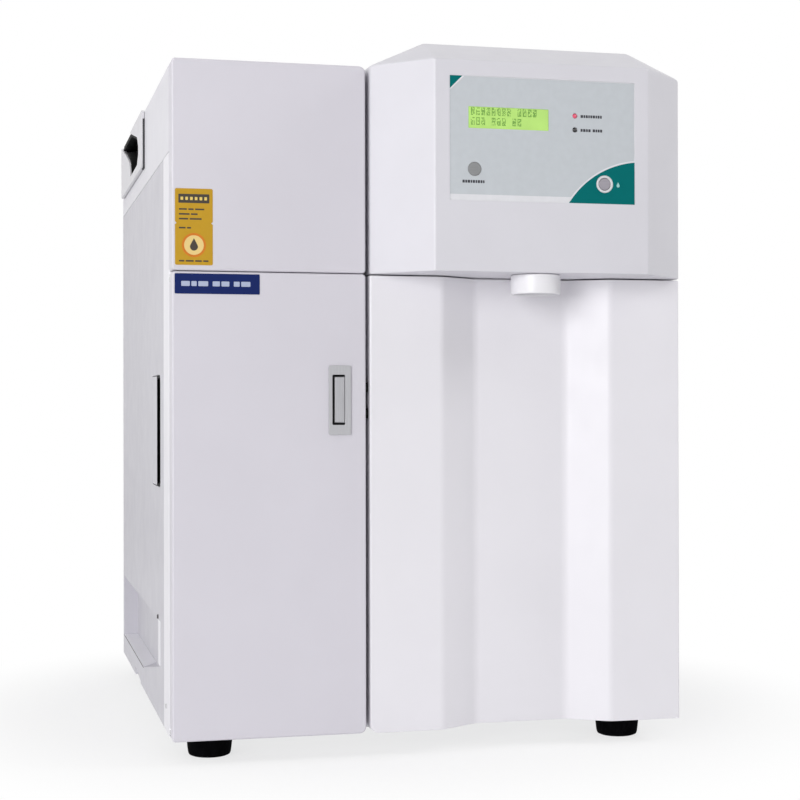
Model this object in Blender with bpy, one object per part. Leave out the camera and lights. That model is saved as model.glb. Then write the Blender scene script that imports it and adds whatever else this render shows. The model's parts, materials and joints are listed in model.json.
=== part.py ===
"""Laboratory water purifier: a sheet steel cabinet with a hinged door on the left and a dispensing bay on the right.

Cabinet coordinates run across from the left side, back from the front panels and up from the tray, in metres.
The world origin is at the middle of the footprint, on the surface that the feet stand on, with +Z up.
"""

from math import cos, hypot, pi, radians, sin

import bmesh
import bpy
from mathutils import Matrix, Vector

# Driving dimensions
BODY_WIDTH = 0.410
BODY_DEPTH = 0.480
BODY_HEIGHT = 0.517
FOOT_HEIGHT = 0.018
SHEET = 0.002
SEAT = 0.0003
COLUMN_WIDTH = 0.1498
MODULE_LEFT = 0.153
SPLIT_LOW = 0.3557
SPLIT_HIGH = 0.3563
FRONT_DEPTH = 0.022
FRONT_RADIUS = 0.0015
FRAME_FRONT = 0.023
FRAME_CORNER = 0.0032
BAND_END = 0.063
FLANGE_LOW = 0.449
HOOD_REACH = 0.0404
HOOD_RISE = 0.020
HOOD_WALL = 0.0035
REAR_REACH = 0.0196
COVER_TOP = 0.3547

# Places that several pieces share, in cabinet coordinates
PANEL_END = 0.478
REAR_FRONT = 0.4784
NICHE_END = 0.470
SLOT = (0.090, 0.161, 0.188, 0.279)
DOOR_OPENING = (0.014, 0.138, 0.022, 0.344)
DOOR_PIVOT = (0.0035, 0.0185)
LEVER_PIVOT = (0.1319, 0.00035)
BOLT_HEIGHT = 0.258
BOLT_NOSE = 0.1518
CLIP_SIDES = (0.1503, 0.1525)
MODE_BUTTON = (0.2261, 0.4342)
DISPENSE_BUTTON = (0.3313, 0.4256)
LED_RUN = (0.307, 0.4778)
LED_TANK = (0.307, 0.467)
LCD_CENTRE = (0.25335, 0.47365)
OVERLAY = (0.2063, 0.3564, 0.4100, 0.5053)
RECESS_FLOOR = -0.0384
BOARD_FRONT = -0.028
NOZZLE = (0.282, -0.018)
HOUSING_LEFT = 0.050
HOUSING_RIGHT = 0.115
FILTER_ROW = 0.092
VESSEL_ROW = 0.178
BRACKET_TOP = 0.326
PORT_TOP = 0.336
DELIVERY_PUMP = (0.340, 0.034)
SHELF_LOW = 0.357
TANK_INLET = (0.193, 0.202)
PARTITION_LEFT = 0.150
FITTING_HEIGHT = 0.346
FITTINGS = (0.0825, 0.115)
FITTING_INSIDE = 0.012
ROCKER = (0.100, 0.478, 0.440)
ROCKER_TILT = radians(10)
FOOT_ACROSS = (0.033, 0.371)
FOOT_BACK = (0.040, 0.440)
HANDLE_OPENING = (
    (0.273, 0.474), (0.351, 0.473), (0.360, 0.487), (0.375, 0.493), (0.405, 0.502), (0.456, 0.5146),
    (0.456, 0.522), (0.363, 0.522), (0.350, 0.5146), (0.273, 0.499), (0.261, 0.489), (0.261, 0.482),
)

CORNER = Vector((-BODY_WIDTH / 2, HOOD_REACH - (HOOD_REACH + BODY_DEPTH + REAR_REACH) / 2, FOOT_HEIGHT))

FINISHES = {
    "white_powder_coat": ((0.80, 0.79, 0.83), 0.42, 0.0),
    "white_moulding": ((0.84, 0.83, 0.87), 0.38, 0.0),
    "galvanised_steel": ((0.62, 0.63, 0.65), 0.40, 0.9),
    "black_rubber": ((0.015, 0.015, 0.016), 0.75, 0.0),
    "black_plastic": ((0.02, 0.02, 0.022), 0.5, 0.0),
    "grey_plastic": ((0.45, 0.45, 0.47), 0.4, 0.0),
    "overlay_film": ((0.55, 0.60, 0.63), 0.35, 0.0),
    "display_glass": ((0.42, 0.66, 0.12), 0.15, 0.0),
    "red_lens": ((0.75, 0.06, 0.10), 0.2, 0.0),
    "dark_lens": ((0.02, 0.02, 0.02), 0.2, 0.0),
    "board_green": ((0.02, 0.20, 0.08), 0.5, 0.0),
    "clear_housing": ((0.55, 0.68, 0.80), 0.15, 0.0),
    "natural_polyethylene": ((0.78, 0.79, 0.77), 0.5, 0.0),
    "blue_tube": ((0.05, 0.20, 0.60), 0.35, 0.0),
    "motor_enamel": ((0.06, 0.07, 0.09), 0.45, 0.2),
    "supply_case": ((0.62, 0.63, 0.65), 0.35, 0.9),
}


def clear_scene():
    for obj in list(bpy.data.objects):
        bpy.data.objects.remove(obj)


def finish_of(name):
    """The named Principled material, made on first use."""
    found = bpy.data.materials.get(name)
    if found:
        return found
    colour, roughness, metallic = FINISHES[name]
    made = bpy.data.materials.new(name)
    made.use_nodes = True
    shader = made.node_tree.nodes["Principled BSDF"]
    shader.inputs["Base Color"].default_value = (*colour, 1.0)
    shader.inputs["Roughness"].default_value = roughness
    shader.inputs["Metallic"].default_value = metallic
    made.diffuse_color = (*colour, 1.0)
    return made


def assembly(name, origin=None):
    """An empty that carries one assembly, at a point in cabinet coordinates or at the world origin."""
    empty = bpy.data.objects.new(name, None)
    empty.location = CORNER + Vector(origin) if origin else (0, 0, 0)
    bpy.context.scene.collection.objects.link(empty)
    return empty


def mirror_across(bm):
    """Turns a left hand shape into the right hand one."""
    bmesh.ops.scale(bm, vec=(-1, 1, 1), verts=bm.verts)
    bmesh.ops.translate(bm, vec=(BODY_WIDTH, 0, 0), verts=bm.verts)


def mesh_of(name, bm, origin, mirrored):
    if mirrored:
        mirror_across(bm)
    bmesh.ops.recalc_face_normals(bm, faces=bm.faces)
    bmesh.ops.translate(bm, vec=-Vector(origin), verts=bm.verts)
    mesh = bpy.data.meshes.new(name)
    bm.to_mesh(mesh)
    bm.free()
    return mesh


def piece(name, bm, finish, parent, origin=(0, 0, 0), mirrored=False, smooth=False):
    """One named object from a shape in cabinet coordinates, its own origin at the given cabinet point."""
    obj = bpy.data.objects.new(name, mesh_of(name, bm, origin, mirrored))
    obj.data.materials.append(finish_of(finish))
    if smooth:
        obj.data.shade_smooth()
        obj.data.set_sharp_from_angle(angle=radians(35))
    obj.parent = parent
    obj.location = CORNER + Vector(origin) - parent.location
    bpy.context.scene.collection.objects.link(obj)
    return obj


def tool(obj, bm, operation, mirrored):
    """A hidden helper object that a Boolean modifier on the piece uses."""
    name = f"{obj.name}_{operation.lower()}_{len(obj.modifiers) + 1}"
    helper = bpy.data.objects.new(name, mesh_of(name, bm, (0, 0, 0), mirrored))
    helper.location = CORNER
    helper.hide_render = True
    helper.display_type = "WIRE"
    bpy.context.scene.collection.objects.link(helper)
    modifier = obj.modifiers.new(name, "BOOLEAN")
    modifier.operation = operation
    modifier.solver = "EXACT"
    modifier.object = helper


def cut(obj, *shapes, mirrored=False):
    """Takes shapes that don't touch each other away from the piece."""
    tool(obj, joined(shapes), "DIFFERENCE", mirrored)


def fuse(obj, *shapes, mirrored=False):
    for shape in shapes:
        tool(obj, shape, "UNION", mirrored)


def joined(shapes):
    """Several separate shapes in one bmesh."""
    whole = bmesh.new()
    for shape in shapes:
        mesh = bpy.data.meshes.new("joined")
        shape.to_mesh(mesh)
        shape.free()
        whole.from_mesh(mesh)
        bpy.data.meshes.remove(mesh)
    return whole


def block(low, high):
    bm = bmesh.new()
    bmesh.ops.create_cube(bm, size=1)
    low, high = Vector(low), Vector(high)
    bmesh.ops.scale(bm, vec=high - low, verts=bm.verts)
    bmesh.ops.translate(bm, vec=(low + high) / 2, verts=bm.verts)
    return bm


def prism(outline, axis, start, end):
    """An outline extruded along X, Y or Z. Its two numbers are the other two coordinates, in order."""
    at = "XYZ".index(axis)
    bm = bmesh.new()
    corners = []
    for a, b in outline:
        point = [a, b]
        point.insert(at, start)
        corners.append(bm.verts.new(point))
    made = bmesh.ops.extrude_face_region(bm, geom=[bm.faces.new(corners)])
    moved = [item for item in made["geom"] if isinstance(item, bmesh.types.BMVert)]
    along = Vector((0, 0, 0))
    along[at] = end - start
    bmesh.ops.translate(bm, vec=along, verts=moved)
    return bm


def arc(centre, radius, start, end, steps):
    """Points on an arc, with its angles in degrees."""
    angles = [radians(start + (end - start) * i / steps) for i in range(steps + 1)]
    return [(centre[0] + radius * cos(a), centre[1] + radius * sin(a)) for a in angles]


def circle(centre, radius, steps=24):
    return arc(centre, radius, 0, 360, steps)[:-1]


def rounded(left, right, low, high, radius, steps=4):
    """A rectangle with round corners, anticlockwise from its lower right corner."""
    inner = (left + radius, right - radius, low + radius, high - radius)
    return (
        arc((inner[1], inner[2]), radius, 270, 360, steps)
        + arc((inner[1], inner[3]), radius, 0, 90, steps)
        + arc((inner[0], inner[3]), radius, 90, 180, steps)
        + arc((inner[0], inner[2]), radius, 180, 270, steps)
    )


def inset(outline, distance):
    """The outline with each of its edges moved inwards, for an anticlockwise outline."""
    count = len(outline)
    lines = []
    for i in range(count):
        (ax, ay), (bx, by) = outline[i], outline[(i + 1) % count]
        length = hypot(bx - ax, by - ay)
        nx, ny = (ay - by) / length, (bx - ax) / length
        lines.append((nx, ny, nx * ax + ny * ay + distance))
    moved = []
    for i in range(count):
        (a, b, c), (d, e, f) = lines[i - 1], lines[i]
        across = a * e - b * d
        moved.append(((c * e - b * f) / across, (a * f - c * d) / across))
    return moved


def hull(points):
    bm = bmesh.new()
    for point in points:
        bm.verts.new(point)
    bmesh.ops.convex_hull(bm, input=bm.verts)
    return bm


def turned(profile, foot, axis="Z", steps=24):
    """A profile of (radius, distance along the axis) spun round X, Y or Z through the foot point."""
    bm = bmesh.new()
    corners = [bm.verts.new((radius, 0, along)) for radius, along in profile]
    edges = [bm.edges.new(pair) for pair in zip(corners, corners[1:])]
    bmesh.ops.spin(
        bm, geom=corners + edges, cent=(0, 0, 0), axis=(0, 0, 1), angle=2 * pi, steps=steps, use_merge=True
    )
    bmesh.ops.remove_doubles(bm, verts=bm.verts, dist=1e-6)
    bmesh.ops.dissolve_degenerate(bm, edges=bm.edges, dist=1e-7)
    turn = {"Z": Matrix(), "X": Matrix.Rotation(pi / 2, 4, "Y"), "Y": Matrix.Rotation(-pi / 2, 4, "X")}[axis]
    bmesh.ops.transform(bm, matrix=Matrix.Translation(foot) @ turn, verts=bm.verts)
    return bm


def round_edges(bm, along, places, radius, segments):
    """Rounds the straight edges that run along one axis through the given places in the other two."""
    at = "XYZ".index(along)
    chosen = []
    for edge in bm.edges:
        a, b = (list(vert.co) for vert in edge.verts)
        del a[at], b[at]
        still = max(abs(a[0] - b[0]), abs(a[1] - b[1])) < 1e-6
        near = any(abs(a[0] - u) < 1e-6 and abs(a[1] - v) < 1e-6 for u, v in places)
        if still and near:
            chosen.append(edge)
    bmesh.ops.bevel(bm, geom=chosen, offset=radius, segments=segments, profile=0.5, affect="EDGES")


def round_front(bm, front, radius, segments=3):
    """Rounds every edge that lies in the front plane."""
    chosen = [edge for edge in bm.edges if all(abs(vert.co.y - front) < 1e-6 for vert in edge.verts)]
    bmesh.ops.bevel(bm, geom=chosen, offset=radius, segments=segments, profile=0.5, affect="EDGES")


# Cabinet


def make_base_tray(parent):
    side, wall = 0.0024, 0.017
    front, rear = 0.0254, 0.4776
    tray = piece("base_tray", block((side, front, 0), (BODY_WIDTH - side, rear, wall)), "galvanised_steel", parent)
    inner_low = (side + SHEET, front + SHEET, SHEET)
    cut(tray, block(inner_low, (BODY_WIDTH - side - SHEET, rear - SHEET, 2 * wall)))
    return tray


def make_front_frame(parent):
    """One folded plate with a corner band down each side and the door's opening."""
    right, back = BODY_WIDTH, FRAME_FRONT + SHEET
    centre = FRAME_FRONT + FRAME_CORNER
    outline = [(0, BAND_END)]
    outline += arc((FRAME_CORNER, centre), FRAME_CORNER, 180, 270, 4)
    outline += arc((right - FRAME_CORNER, centre), FRAME_CORNER, 270, 360, 4)
    outline += [(right, BAND_END), (right - SHEET, BAND_END), (right - SHEET, back), (SHEET, back)]
    outline += [(SHEET, BAND_END)]
    frame = piece("front_frame", prism(outline, "Z", 0.0005, FLANGE_LOW - 0.0004), "white_powder_coat", parent)
    side, overlap = SHEET + 0.0004, FLANGE_LOW - 0.009
    fuse(frame, block((side, FRAME_FRONT, overlap), (right - side, back, BODY_HEIGHT - SHEET - SEAT)))
    front, rear = FRAME_FRONT - 0.01, back + 0.01
    door_opening = prism(rounded(*DOOR_OPENING, 0.001, 2), "Y", front, rear)
    tube_hole = prism(circle((NOZZLE[0], 0.381), 0.008, 16), "Y", front, rear)
    cable_hole = prism(rounded(0.180, 0.215, 0.385, 0.405, 0.006), "Y", front, rear)
    cut(frame, door_opening, tube_hole, cable_hole)
    return frame


def handle_outline(grow=0.0, top=None):
    """The hand hold's opening seen from the left, in back and up, grown by a margin and cut level at the top."""
    outline = inset(HANDLE_OPENING, -grow)
    if top is None:
        return outline
    level = []
    for back, up in outline:
        point = (back, min(up, top))
        if not level or hypot(point[0] - level[-1][0], point[1] - level[-1][1]) > 1e-5:
            level.append(point)
    return level


def make_top_cover(parent):
    """The top with its deep side flanges, which the carry handles pass through."""
    radius, top, right = 0.0025, BODY_HEIGHT, BODY_WIDTH
    outline = [(0, FLANGE_LOW)] + arc((radius, top - radius), radius, 180, 90, 3)
    outline += arc((right - radius, top - radius), radius, 90, 0, 3)
    outline += [(right, FLANGE_LOW), (right - SHEET, FLANGE_LOW), (right - SHEET, top - SHEET)]
    outline += [(SHEET, top - SHEET), (SHEET, FLANGE_LOW)]
    cover = piece("top_cover", prism(outline, "Y", FRAME_FRONT, PANEL_END), "white_powder_coat", parent)
    for mirrored in (False, True):
        cut(cover, prism(handle_outline(0.0004), "X", -0.006, SHEET + 0.002), mirrored=mirrored)
        cut(cover, block((-0.006, 0.3655, 0.510), (0.014, 0.4465, 0.530)), mirrored=mirrored)
    return cover


def niche(grow):
    """The scoop low in the side panel: it ramps inwards from its front edge and ends in an upright wall."""
    end = NICHE_END + grow
    front, ramp_low, ramp_end, floor, ceiling, deep = 0.095, 0.246, 0.270, 0.020, 0.080, 0.014
    mouth = [(front - grow, 0.043 - grow), (front - grow, ceiling + grow), (ramp_low, floor - grow)]
    mouth += [(end, floor - grow), (end, ceiling + grow)]
    wall = [(ramp_end - grow, floor - grow), (ramp_end - grow, ceiling - 0.002 + grow)]
    wall += [(end, floor - grow), (end, ceiling - 0.002 + grow)]
    outside = 0.001 if grow else -0.001
    points = [(outside, back, up) for back, up in mouth] + [(max(outside, 0), back, up) for back, up in mouth]
    return hull(points + [(deep + grow, back, up) for back, up in wall])


def slot_outline(shrink):
    back_low, back_high, low, high = SLOT
    radius = 0.006 - shrink
    return rounded(back_low + shrink, back_high - shrink, low + shrink, high - shrink, radius, 4)


def make_side_panel(name, parent, mirrored):
    """A lift-off panel with a folded front edge, a finger slot and the scooped niche."""
    start, fold = 0.0635, 0.012
    outline = [(0, start), (fold, start), (fold, start + SHEET), (SHEET, start + SHEET)]
    outline += [(SHEET, PANEL_END), (0, PANEL_END)]
    shape = prism(outline, "Z", 0.0005, FLANGE_LOW - 0.0005)
    panel = piece(name, shape, "white_powder_coat", parent, mirrored=mirrored)
    fuse(panel, niche(SHEET), mirrored=mirrored)
    cut(panel, niche(0), mirrored=mirrored)
    cut(panel, prism(slot_outline(0), "X", -0.01, 0.01), mirrored=mirrored)
    cut(panel, prism([(0.277, -0.01), (0.331, -0.01), (0.331, 0.008), (0.277, 0.0025)], "X", -0.01, 0.01),
        mirrored=mirrored)
    over_tray = block((SHEET + 0.0001, start - 0.01, -0.01), (2 * fold, start + 0.01, 0.0175))
    cut(panel, over_tray, mirrored=mirrored)
    return panel


def make_side_pull(name, parent, mirrored):
    """The finger cup behind the slot: open at the front half, with a flush plate over the rear half."""
    wall, deep, plate_start = 0.002, 0.014, 0.1265
    shape = prism(slot_outline(0.0004), "X", SEAT, deep)
    cup = piece(name, shape, "black_plastic", parent, mirrored=mirrored)
    cut(cup, prism(slot_outline(0.0004 + wall), "X", -0.01, deep - wall), mirrored=mirrored)
    plate = []
    for back, up in slot_outline(0.0004 + wall + 0.001):
        point = (max(back, plate_start), up)
        if not plate or hypot(point[0] - plate[-1][0], point[1] - plate[-1][1]) > 1e-5:
            plate.append(point)
    post = block((0.001, 0.139, 0.215), (deep - wall / 2, 0.145, 0.252))
    fuse(cup, prism(plate, "X", 0.0006, 0.0026), post, mirrored=mirrored)
    return cup


def make_rear_panel(parent):
    end = BODY_DEPTH
    edge = 0.0003
    shape = block((edge, REAR_FRONT, 0.0005), (BODY_WIDTH - edge, end, BODY_HEIGHT - edge))
    panel = piece("rear_panel", shape, "white_powder_coat", parent)
    front, back = REAR_FRONT - 0.01, end + 0.01
    openings = [prism(rounded(0.0456, 0.0744, 0.4286, 0.4514, 0.002), "Y", front, back)]
    openings += [prism(rounded(0.0896, 0.1104, 0.4256, 0.4544, 0.001), "Y", front, back)]
    openings += [prism(circle((across, FITTING_HEIGHT), 0.0065, 16), "Y", front, back) for across in FITTINGS]
    for column in range(2):
        left = 0.200 + column * 0.085
        for row in range(6):
            low = 0.385 + row * 0.011
            openings.append(prism(rounded(left, left + 0.070, low, low + 0.005, 0.0024, 1), "Y", front, back))
    cut(panel, *openings)
    return panel


def make_partition(parent):
    """The sheet between the filter compartment and the reservoir, with a hole for the permeate tube."""
    low, high = SHEET + SEAT, BODY_HEIGHT - SHEET - SEAT
    shape = block((PARTITION_LEFT, 0.0277, low), (PARTITION_LEFT + SHEET, 0.4753, high))
    sheet = piece("centre_partition", shape, "galvanised_steel", parent)
    hole = prism(circle((VESSEL_ROW, 0.348), 0.007, 16), "X", PARTITION_LEFT - 0.01, PARTITION_LEFT + 0.01)
    slot = prism(rounded(0.300, 0.340, 0.420, 0.440, 0.006), "X", PARTITION_LEFT - 0.01, PARTITION_LEFT + 0.01)
    cut(sheet, hole, slot)
    return sheet


def make_shelf(parent):
    """The shelf under the power supply, with a turned down front edge."""
    left, right, front, back, lip = 0.0023, 0.1497, 0.0253, 0.465, 0.010
    outline = [(front, SHELF_LOW - lip), (front + SHEET, SHELF_LOW - lip), (front + SHEET, SHELF_LOW)]
    outline += [(back, SHELF_LOW), (back, SHELF_LOW + SHEET), (front, SHELF_LOW + SHEET)]
    shelf = piece("equipment_shelf", prism(outline, "X", left, right), "galvanised_steel", parent)
    cut(shelf, block((left - 0.01, 0.063, SHELF_LOW - 0.01), (0.0125, 0.066, SHELF_LOW + 0.01)))
    return shelf


def make_foot(name, across, back, parent):
    """A turned rubber foot, tapering to a rounded lower edge."""
    bottom, top = -FOOT_HEIGHT, -SEAT
    profile = [(0, bottom), (0.0140, bottom), (0.0160, bottom + 0.0008), (0.0168, bottom + 0.003)]
    profile += [(0.0172, bottom + 0.006), (0.0185, top), (0, top)]
    return piece(name, turned(profile, (across, back, 0), steps=24), "black_rubber", parent, smooth=True)


def make_handle(side, parent, mirrored):
    """The carry handle: a proud light frame round a black cup that reaches the cover's top edge."""
    proud, top = 0.003, 0.5164
    frame_shape = prism(rounded(0.228, 0.462, 0.4655, top, 0.003, 3), "X", -proud, -SEAT)
    round_outer = [(-proud, 0.4655), (-proud, top)]
    round_edges(frame_shape, "Y", round_outer, 0.001, 1)
    frame = piece(f"handle_frame_{side}", frame_shape, "white_moulding", parent, mirrored=mirrored)
    cut(frame, prism(handle_outline(), "X", -0.01, 0.01), mirrored=mirrored)
    deep, wall, mouth, lip = 0.032, 0.0024, -0.0015, 0.0136
    under_top = BODY_HEIGHT - SHEET - SEAT
    shape = prism(handle_outline(-0.0004, under_top), "X", mouth, deep)
    cup = piece(f"handle_cup_{side}", shape, "black_plastic", parent, mirrored=mirrored)
    fuse(cup, block((mouth + 0.0002, 0.366, 0.5127), (lip, 0.446, BODY_HEIGHT - 0.0002)), mirrored=mirrored)
    cut(cup, prism(handle_outline(-0.0004 - wall, under_top - wall), "X", mouth - 0.01, deep - wall),
        mirrored=mirrored)
    return frame, cup


# Front of the cabinet


def make_upper_front_panel(parent):
    """A folded pan with round corners, fixed above the door."""
    low, high = SPLIT_HIGH, BODY_HEIGHT
    shape = block((0, 0, low), (COLUMN_WIDTH, FRONT_DEPTH, high))
    round_edges(shape, "Y", [(COLUMN_WIDTH, high)], 0.0050, 4)
    round_edges(shape, "Y", [(COLUMN_WIDTH, low), (0, low), (0, high)], 0.0025, 2)
    round_front(shape, 0, FRONT_RADIUS)
    panel = piece("upper_front_panel", shape, "white_powder_coat", parent)
    cut(panel, block((SHEET, SHEET, low + SHEET), (COLUMN_WIDTH - SHEET, FRONT_DEPTH + 0.01, high - SHEET)))
    return panel


def cover_front():
    """The lower cover's front in plan, from left to right: flat, bevel, bay, bevel, flat."""
    return [(MODULE_LEFT, 0), (0.2113, 0), (0.2433, 0.0195), (0.3189, 0.0195), (0.3509, 0), (BODY_WIDTH, 0)]


def make_lower_front_cover(parent):
    """A deep pan whose middle folds back into the dispensing bay."""
    front, wall = cover_front(), 0.0022
    outline = front + [(BODY_WIDTH, FRONT_DEPTH), (MODULE_LEFT, FRONT_DEPTH)]
    shape = prism(outline, "Z", 0, COVER_TOP)
    corner_radius = 0.0065
    round_edges(shape, "Y", [(MODULE_LEFT, 0)], corner_radius, 4)
    round_edges(shape, "Z", [front[0], front[-1]], FRONT_RADIUS, 3)
    round_edges(shape, "Z", [front[1], front[4]], 0.0030, 2)
    round_edges(shape, "Z", [front[2], front[3]], 0.0040, 2)
    cover = piece("lower_front_cover", shape, "white_powder_coat", parent)
    inner = inset(outline, wall)
    back = FRONT_DEPTH + 0.01
    left = [inner[0], inner[1], inner[2], (inner[2][0], back), (inner[0][0], back)]
    right = [inner[5], (inner[5][0], back), (inner[3][0], back), inner[3], inner[4]]
    low, high = wall, COVER_TOP - wall
    cut(cover, prism(left, "Z", low, high), prism(right, "Z", low, high))
    return cover


def hood_shape(wall):
    """The header hood as one faceted solid: a wedge shaped front, a hipped top and a cap that lies on the cover."""
    left, right = MODULE_LEFT + wall, BODY_WIDTH - wall
    front = wall - HOOD_REACH
    near = wall * 0.4
    shift = wall * 0.4
    low = SPLIT_LOW + wall
    shoulder = BODY_HEIGHT + 0.0004 - wall * 0.6
    ridge = BODY_HEIGHT + HOOD_RISE - wall
    rear, cap_rear, ridge_rear = FRONT_DEPTH + wall, 0.080 - wall, 0.040 - wall * 0.5
    nose_left, nose_right = 0.1946 + shift, 0.3675 - shift
    ridge_left, ridge_right = 0.196 + shift, 0.365 - shift
    plan = [(left, rear), (left, near), (nose_left, front), (nose_right, front), (right, near), (right, rear)]
    bm = bmesh.new()
    base = [bm.verts.new((across, back, low)) for across, back in plan]
    band = [bm.verts.new((across, back, shoulder)) for across, back in plan]
    tail = [bm.verts.new((across, cap_rear, shoulder)) for across in (right, left)]
    top = [
        bm.verts.new((across, back, ridge))
        for across, back in (
            (ridge_left, near), (ridge_right, near), (ridge_right, ridge_rear), (ridge_left, ridge_rear)
        )
    ]
    bm.faces.new(base)
    for i in range(6):
        bm.faces.new((base[i], band[i], band[(i + 1) % 6], base[(i + 1) % 6]))
    bm.faces.new((band[0], band[5], tail[0], tail[1]))
    bm.faces.new((band[1], band[0], tail[1], top[3], top[0]))
    bm.faces.new((band[5], band[4], top[1], top[2], tail[0]))
    bm.faces.new((tail[1], tail[0], top[2], top[3]))
    bm.faces.new((band[2], top[0], top[1], band[3]))
    bm.faces.new((band[1], top[0], band[2]))
    bm.faces.new((band[3], top[1], band[4]))
    bm.faces.new(top)
    return bm


def make_header_hood(parent):
    """The moulded header: hollow, with the display recess, its windows and the outlet hole."""
    shape = hood_shape(0)
    rear_edges = [edge for edge in shape.edges if all(vert.co.y > FRONT_DEPTH - 0.001 for vert in edge.verts)]
    seen_edges = [edge for edge in shape.edges if edge not in rear_edges]
    bmesh.ops.bevel(shape, geom=seen_edges, offset=0.0015, segments=2, profile=0.5, affect="EDGES")
    hood = piece("header_hood", shape, "white_moulding", parent)
    cut(hood, hood_shape(HOOD_WALL))
    left, right, low, high = OVERLAY
    cut(hood, prism(rounded(left, right, low, high, 0.001, 2), "Y", -0.05, RECESS_FLOOR))
    back = HOOD_WALL - HOOD_REACH + 0.01
    half = (0.0363, 0.0138)
    window = rounded(LCD_CENTRE[0] - half[0], LCD_CENTRE[0] + half[0], LCD_CENTRE[1] - half[1],
                     LCD_CENTRE[1] + half[1], 0.001, 2)
    holes = [prism(window, "Y", -0.05, back)]
    holes += [prism(circle(MODE_BUTTON, 0.0057, 20), "Y", -0.05, back)]
    holes += [prism(circle(DISPENSE_BUTTON, 0.0050, 20), "Y", -0.05, back)]
    holes += [prism(circle(place, 0.0022, 12), "Y", -0.05, back) for place in (LED_RUN, LED_TANK)]
    holes += [prism(circle(NOZZLE, 0.0054, 16), "Z", SPLIT_LOW - 0.01, SPLIT_LOW + 0.01)]
    cut(hood, *holes)
    return hood


# Door and its latch


def make_door_panel(axis):
    """The door's outer pan, with its rear left edge rounded about the pivot."""
    high, pivot = SPLIT_LOW, (*DOOR_PIVOT, 0)
    shape = block((0, 0, 0), (COLUMN_WIDTH, FRONT_DEPTH, high))
    round_edges(shape, "Y", [(COLUMN_WIDTH, 0)], 0.0050, 4)
    round_edges(shape, "Y", [(COLUMN_WIDTH, high), (0, high), (0, 0)], 0.0025, 2)
    round_edges(shape, "Z", [(0, FRONT_DEPTH)], DOOR_PIVOT[0], 4)
    round_front(shape, 0, FRONT_RADIUS)
    door = piece("door_panel", shape, "white_powder_coat", axis, pivot)
    cut(door, block((SHEET, SHEET, SHEET), (COLUMN_WIDTH - SHEET, FRONT_DEPTH + 0.01, high - SHEET)))
    notch_start, notch_height = 0.013, 0.006
    relief = [block((-0.01, notch_start, low), (SHEET + 0.0005, 0.03, low + notch_height))
              for low in (SHEET, high - SHEET - notch_height)]
    cut(door, *relief)
    pin_holes = [prism(circle(DOOR_PIVOT, 0.0023, 20), "Z", low, low + 0.01) for low in (-0.006, high - 0.004)]
    latch_hole = prism(rounded(0.1214, 0.1364, 0.2328, 0.2832, 0.001, 2), "Y", -0.01, 0.01)
    half = (0.0029, 0.0054)
    bolt_hole = block((COLUMN_WIDTH - 0.01, 0.013 - half[0], BOLT_HEIGHT - half[1]),
                      (COLUMN_WIDTH + 0.01, 0.013 + half[0], BOLT_HEIGHT + half[1]))
    cut(door, *pin_holes)
    cut(door, latch_hole)
    cut(door, bolt_hole)
    return door


def make_door_liner(axis):
    """The inner sheet that closes the pan, with a field pressed into it towards the door's face."""
    front, wall, pressed = 0.0194, 0.0016, 0.005
    right, high, low = COLUMN_WIDTH - SHEET - SEAT, 0.3534, SHEET + SEAT
    step, start, clear = 0.016, 0.008, 0.009
    outline = [(step, low), (right, low), (right, high), (step, high), (step, high + low - clear)]
    outline += [(start, high + low - clear), (start, clear), (step, clear)]
    liner = piece("door_liner", prism(outline, "Y", front, front + wall), "white_powder_coat", axis,
                  (*DOOR_PIVOT, 0))
    field = rounded(0.024, 0.112, 0.030, 0.326, 0.008, 3)
    fuse(liner, prism(field, "Y", front - pressed, front + wall / 2))
    cut(liner, prism(inset(field, wall), "Y", front - pressed + wall, front + 0.01))
    return liner


def make_latch(axis):
    """The flush pull: a bezelled cup, a lever on its right edge and the bolt that the lever's tail draws back."""
    pivot = (*DOOR_PIVOT, 0)
    face, floor = -0.0013, 0.0090
    housing = piece("latch_housing", prism(rounded(0.12015, 0.13765, 0.2313, 0.2847, 0.0015, 3), "Y", face, -SEAT),
                    "grey_plastic", axis, pivot)
    fuse(housing, prism(rounded(0.1218, 0.1360, 0.2332, 0.2828, 0.001, 2), "Y", face + 0.0004, 0.0102))
    cut(housing, prism(rounded(0.1230, 0.1336, 0.2389, 0.2777, 0.0006, 2), "Y", -0.01, floor))
    cut(housing, block((0.1232, floor - 0.002, BOLT_HEIGHT - 0.004), (0.1334, 0.012, BOLT_HEIGHT + 0.004)))
    cut(housing, prism(circle(LEVER_PIVOT, 0.0011, 12), "Z", 0.2371, 0.2795))

    across, back = LEVER_PIVOT
    lever_axis = assembly("lever_axis", (across, back, BOLT_HEIGHT))
    lever_shape = block((0.1249, -0.0009, 0.2407), (0.1329, 0.0016, 0.2760))
    round_front(lever_shape, -0.0009, 0.0006, 2)
    lever = piece("latch_lever", lever_shape, "grey_plastic", lever_axis, (across, back, BOLT_HEIGHT))
    trunnion = prism(circle(LEVER_PIVOT, 0.0008, 10), "Z", 0.2374, 0.2792)
    tail = block((across - 0.0012, 0.0008, BOLT_HEIGHT - 0.0025), (across + 0.0012, 0.0125, BOLT_HEIGHT + 0.0025))
    fuse(lever, trunnion, tail)

    bolt_shape = block((0.122, 0.0105, BOLT_HEIGHT - 0.005), (BOLT_NOSE, 0.0155, BOLT_HEIGHT + 0.005))
    round_edges(bolt_shape, "Z", [(BOLT_NOSE, 0.0155)], 0.0028, 1)
    bolt = piece("latch_bolt", bolt_shape, "galvanised_steel", axis, pivot)
    cut(bolt, block((across - 0.0037, 0.005, BOLT_HEIGHT - 0.003), (across + 0.0037, 0.0140, BOLT_HEIGHT + 0.003)))
    return housing, lever, bolt


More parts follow.
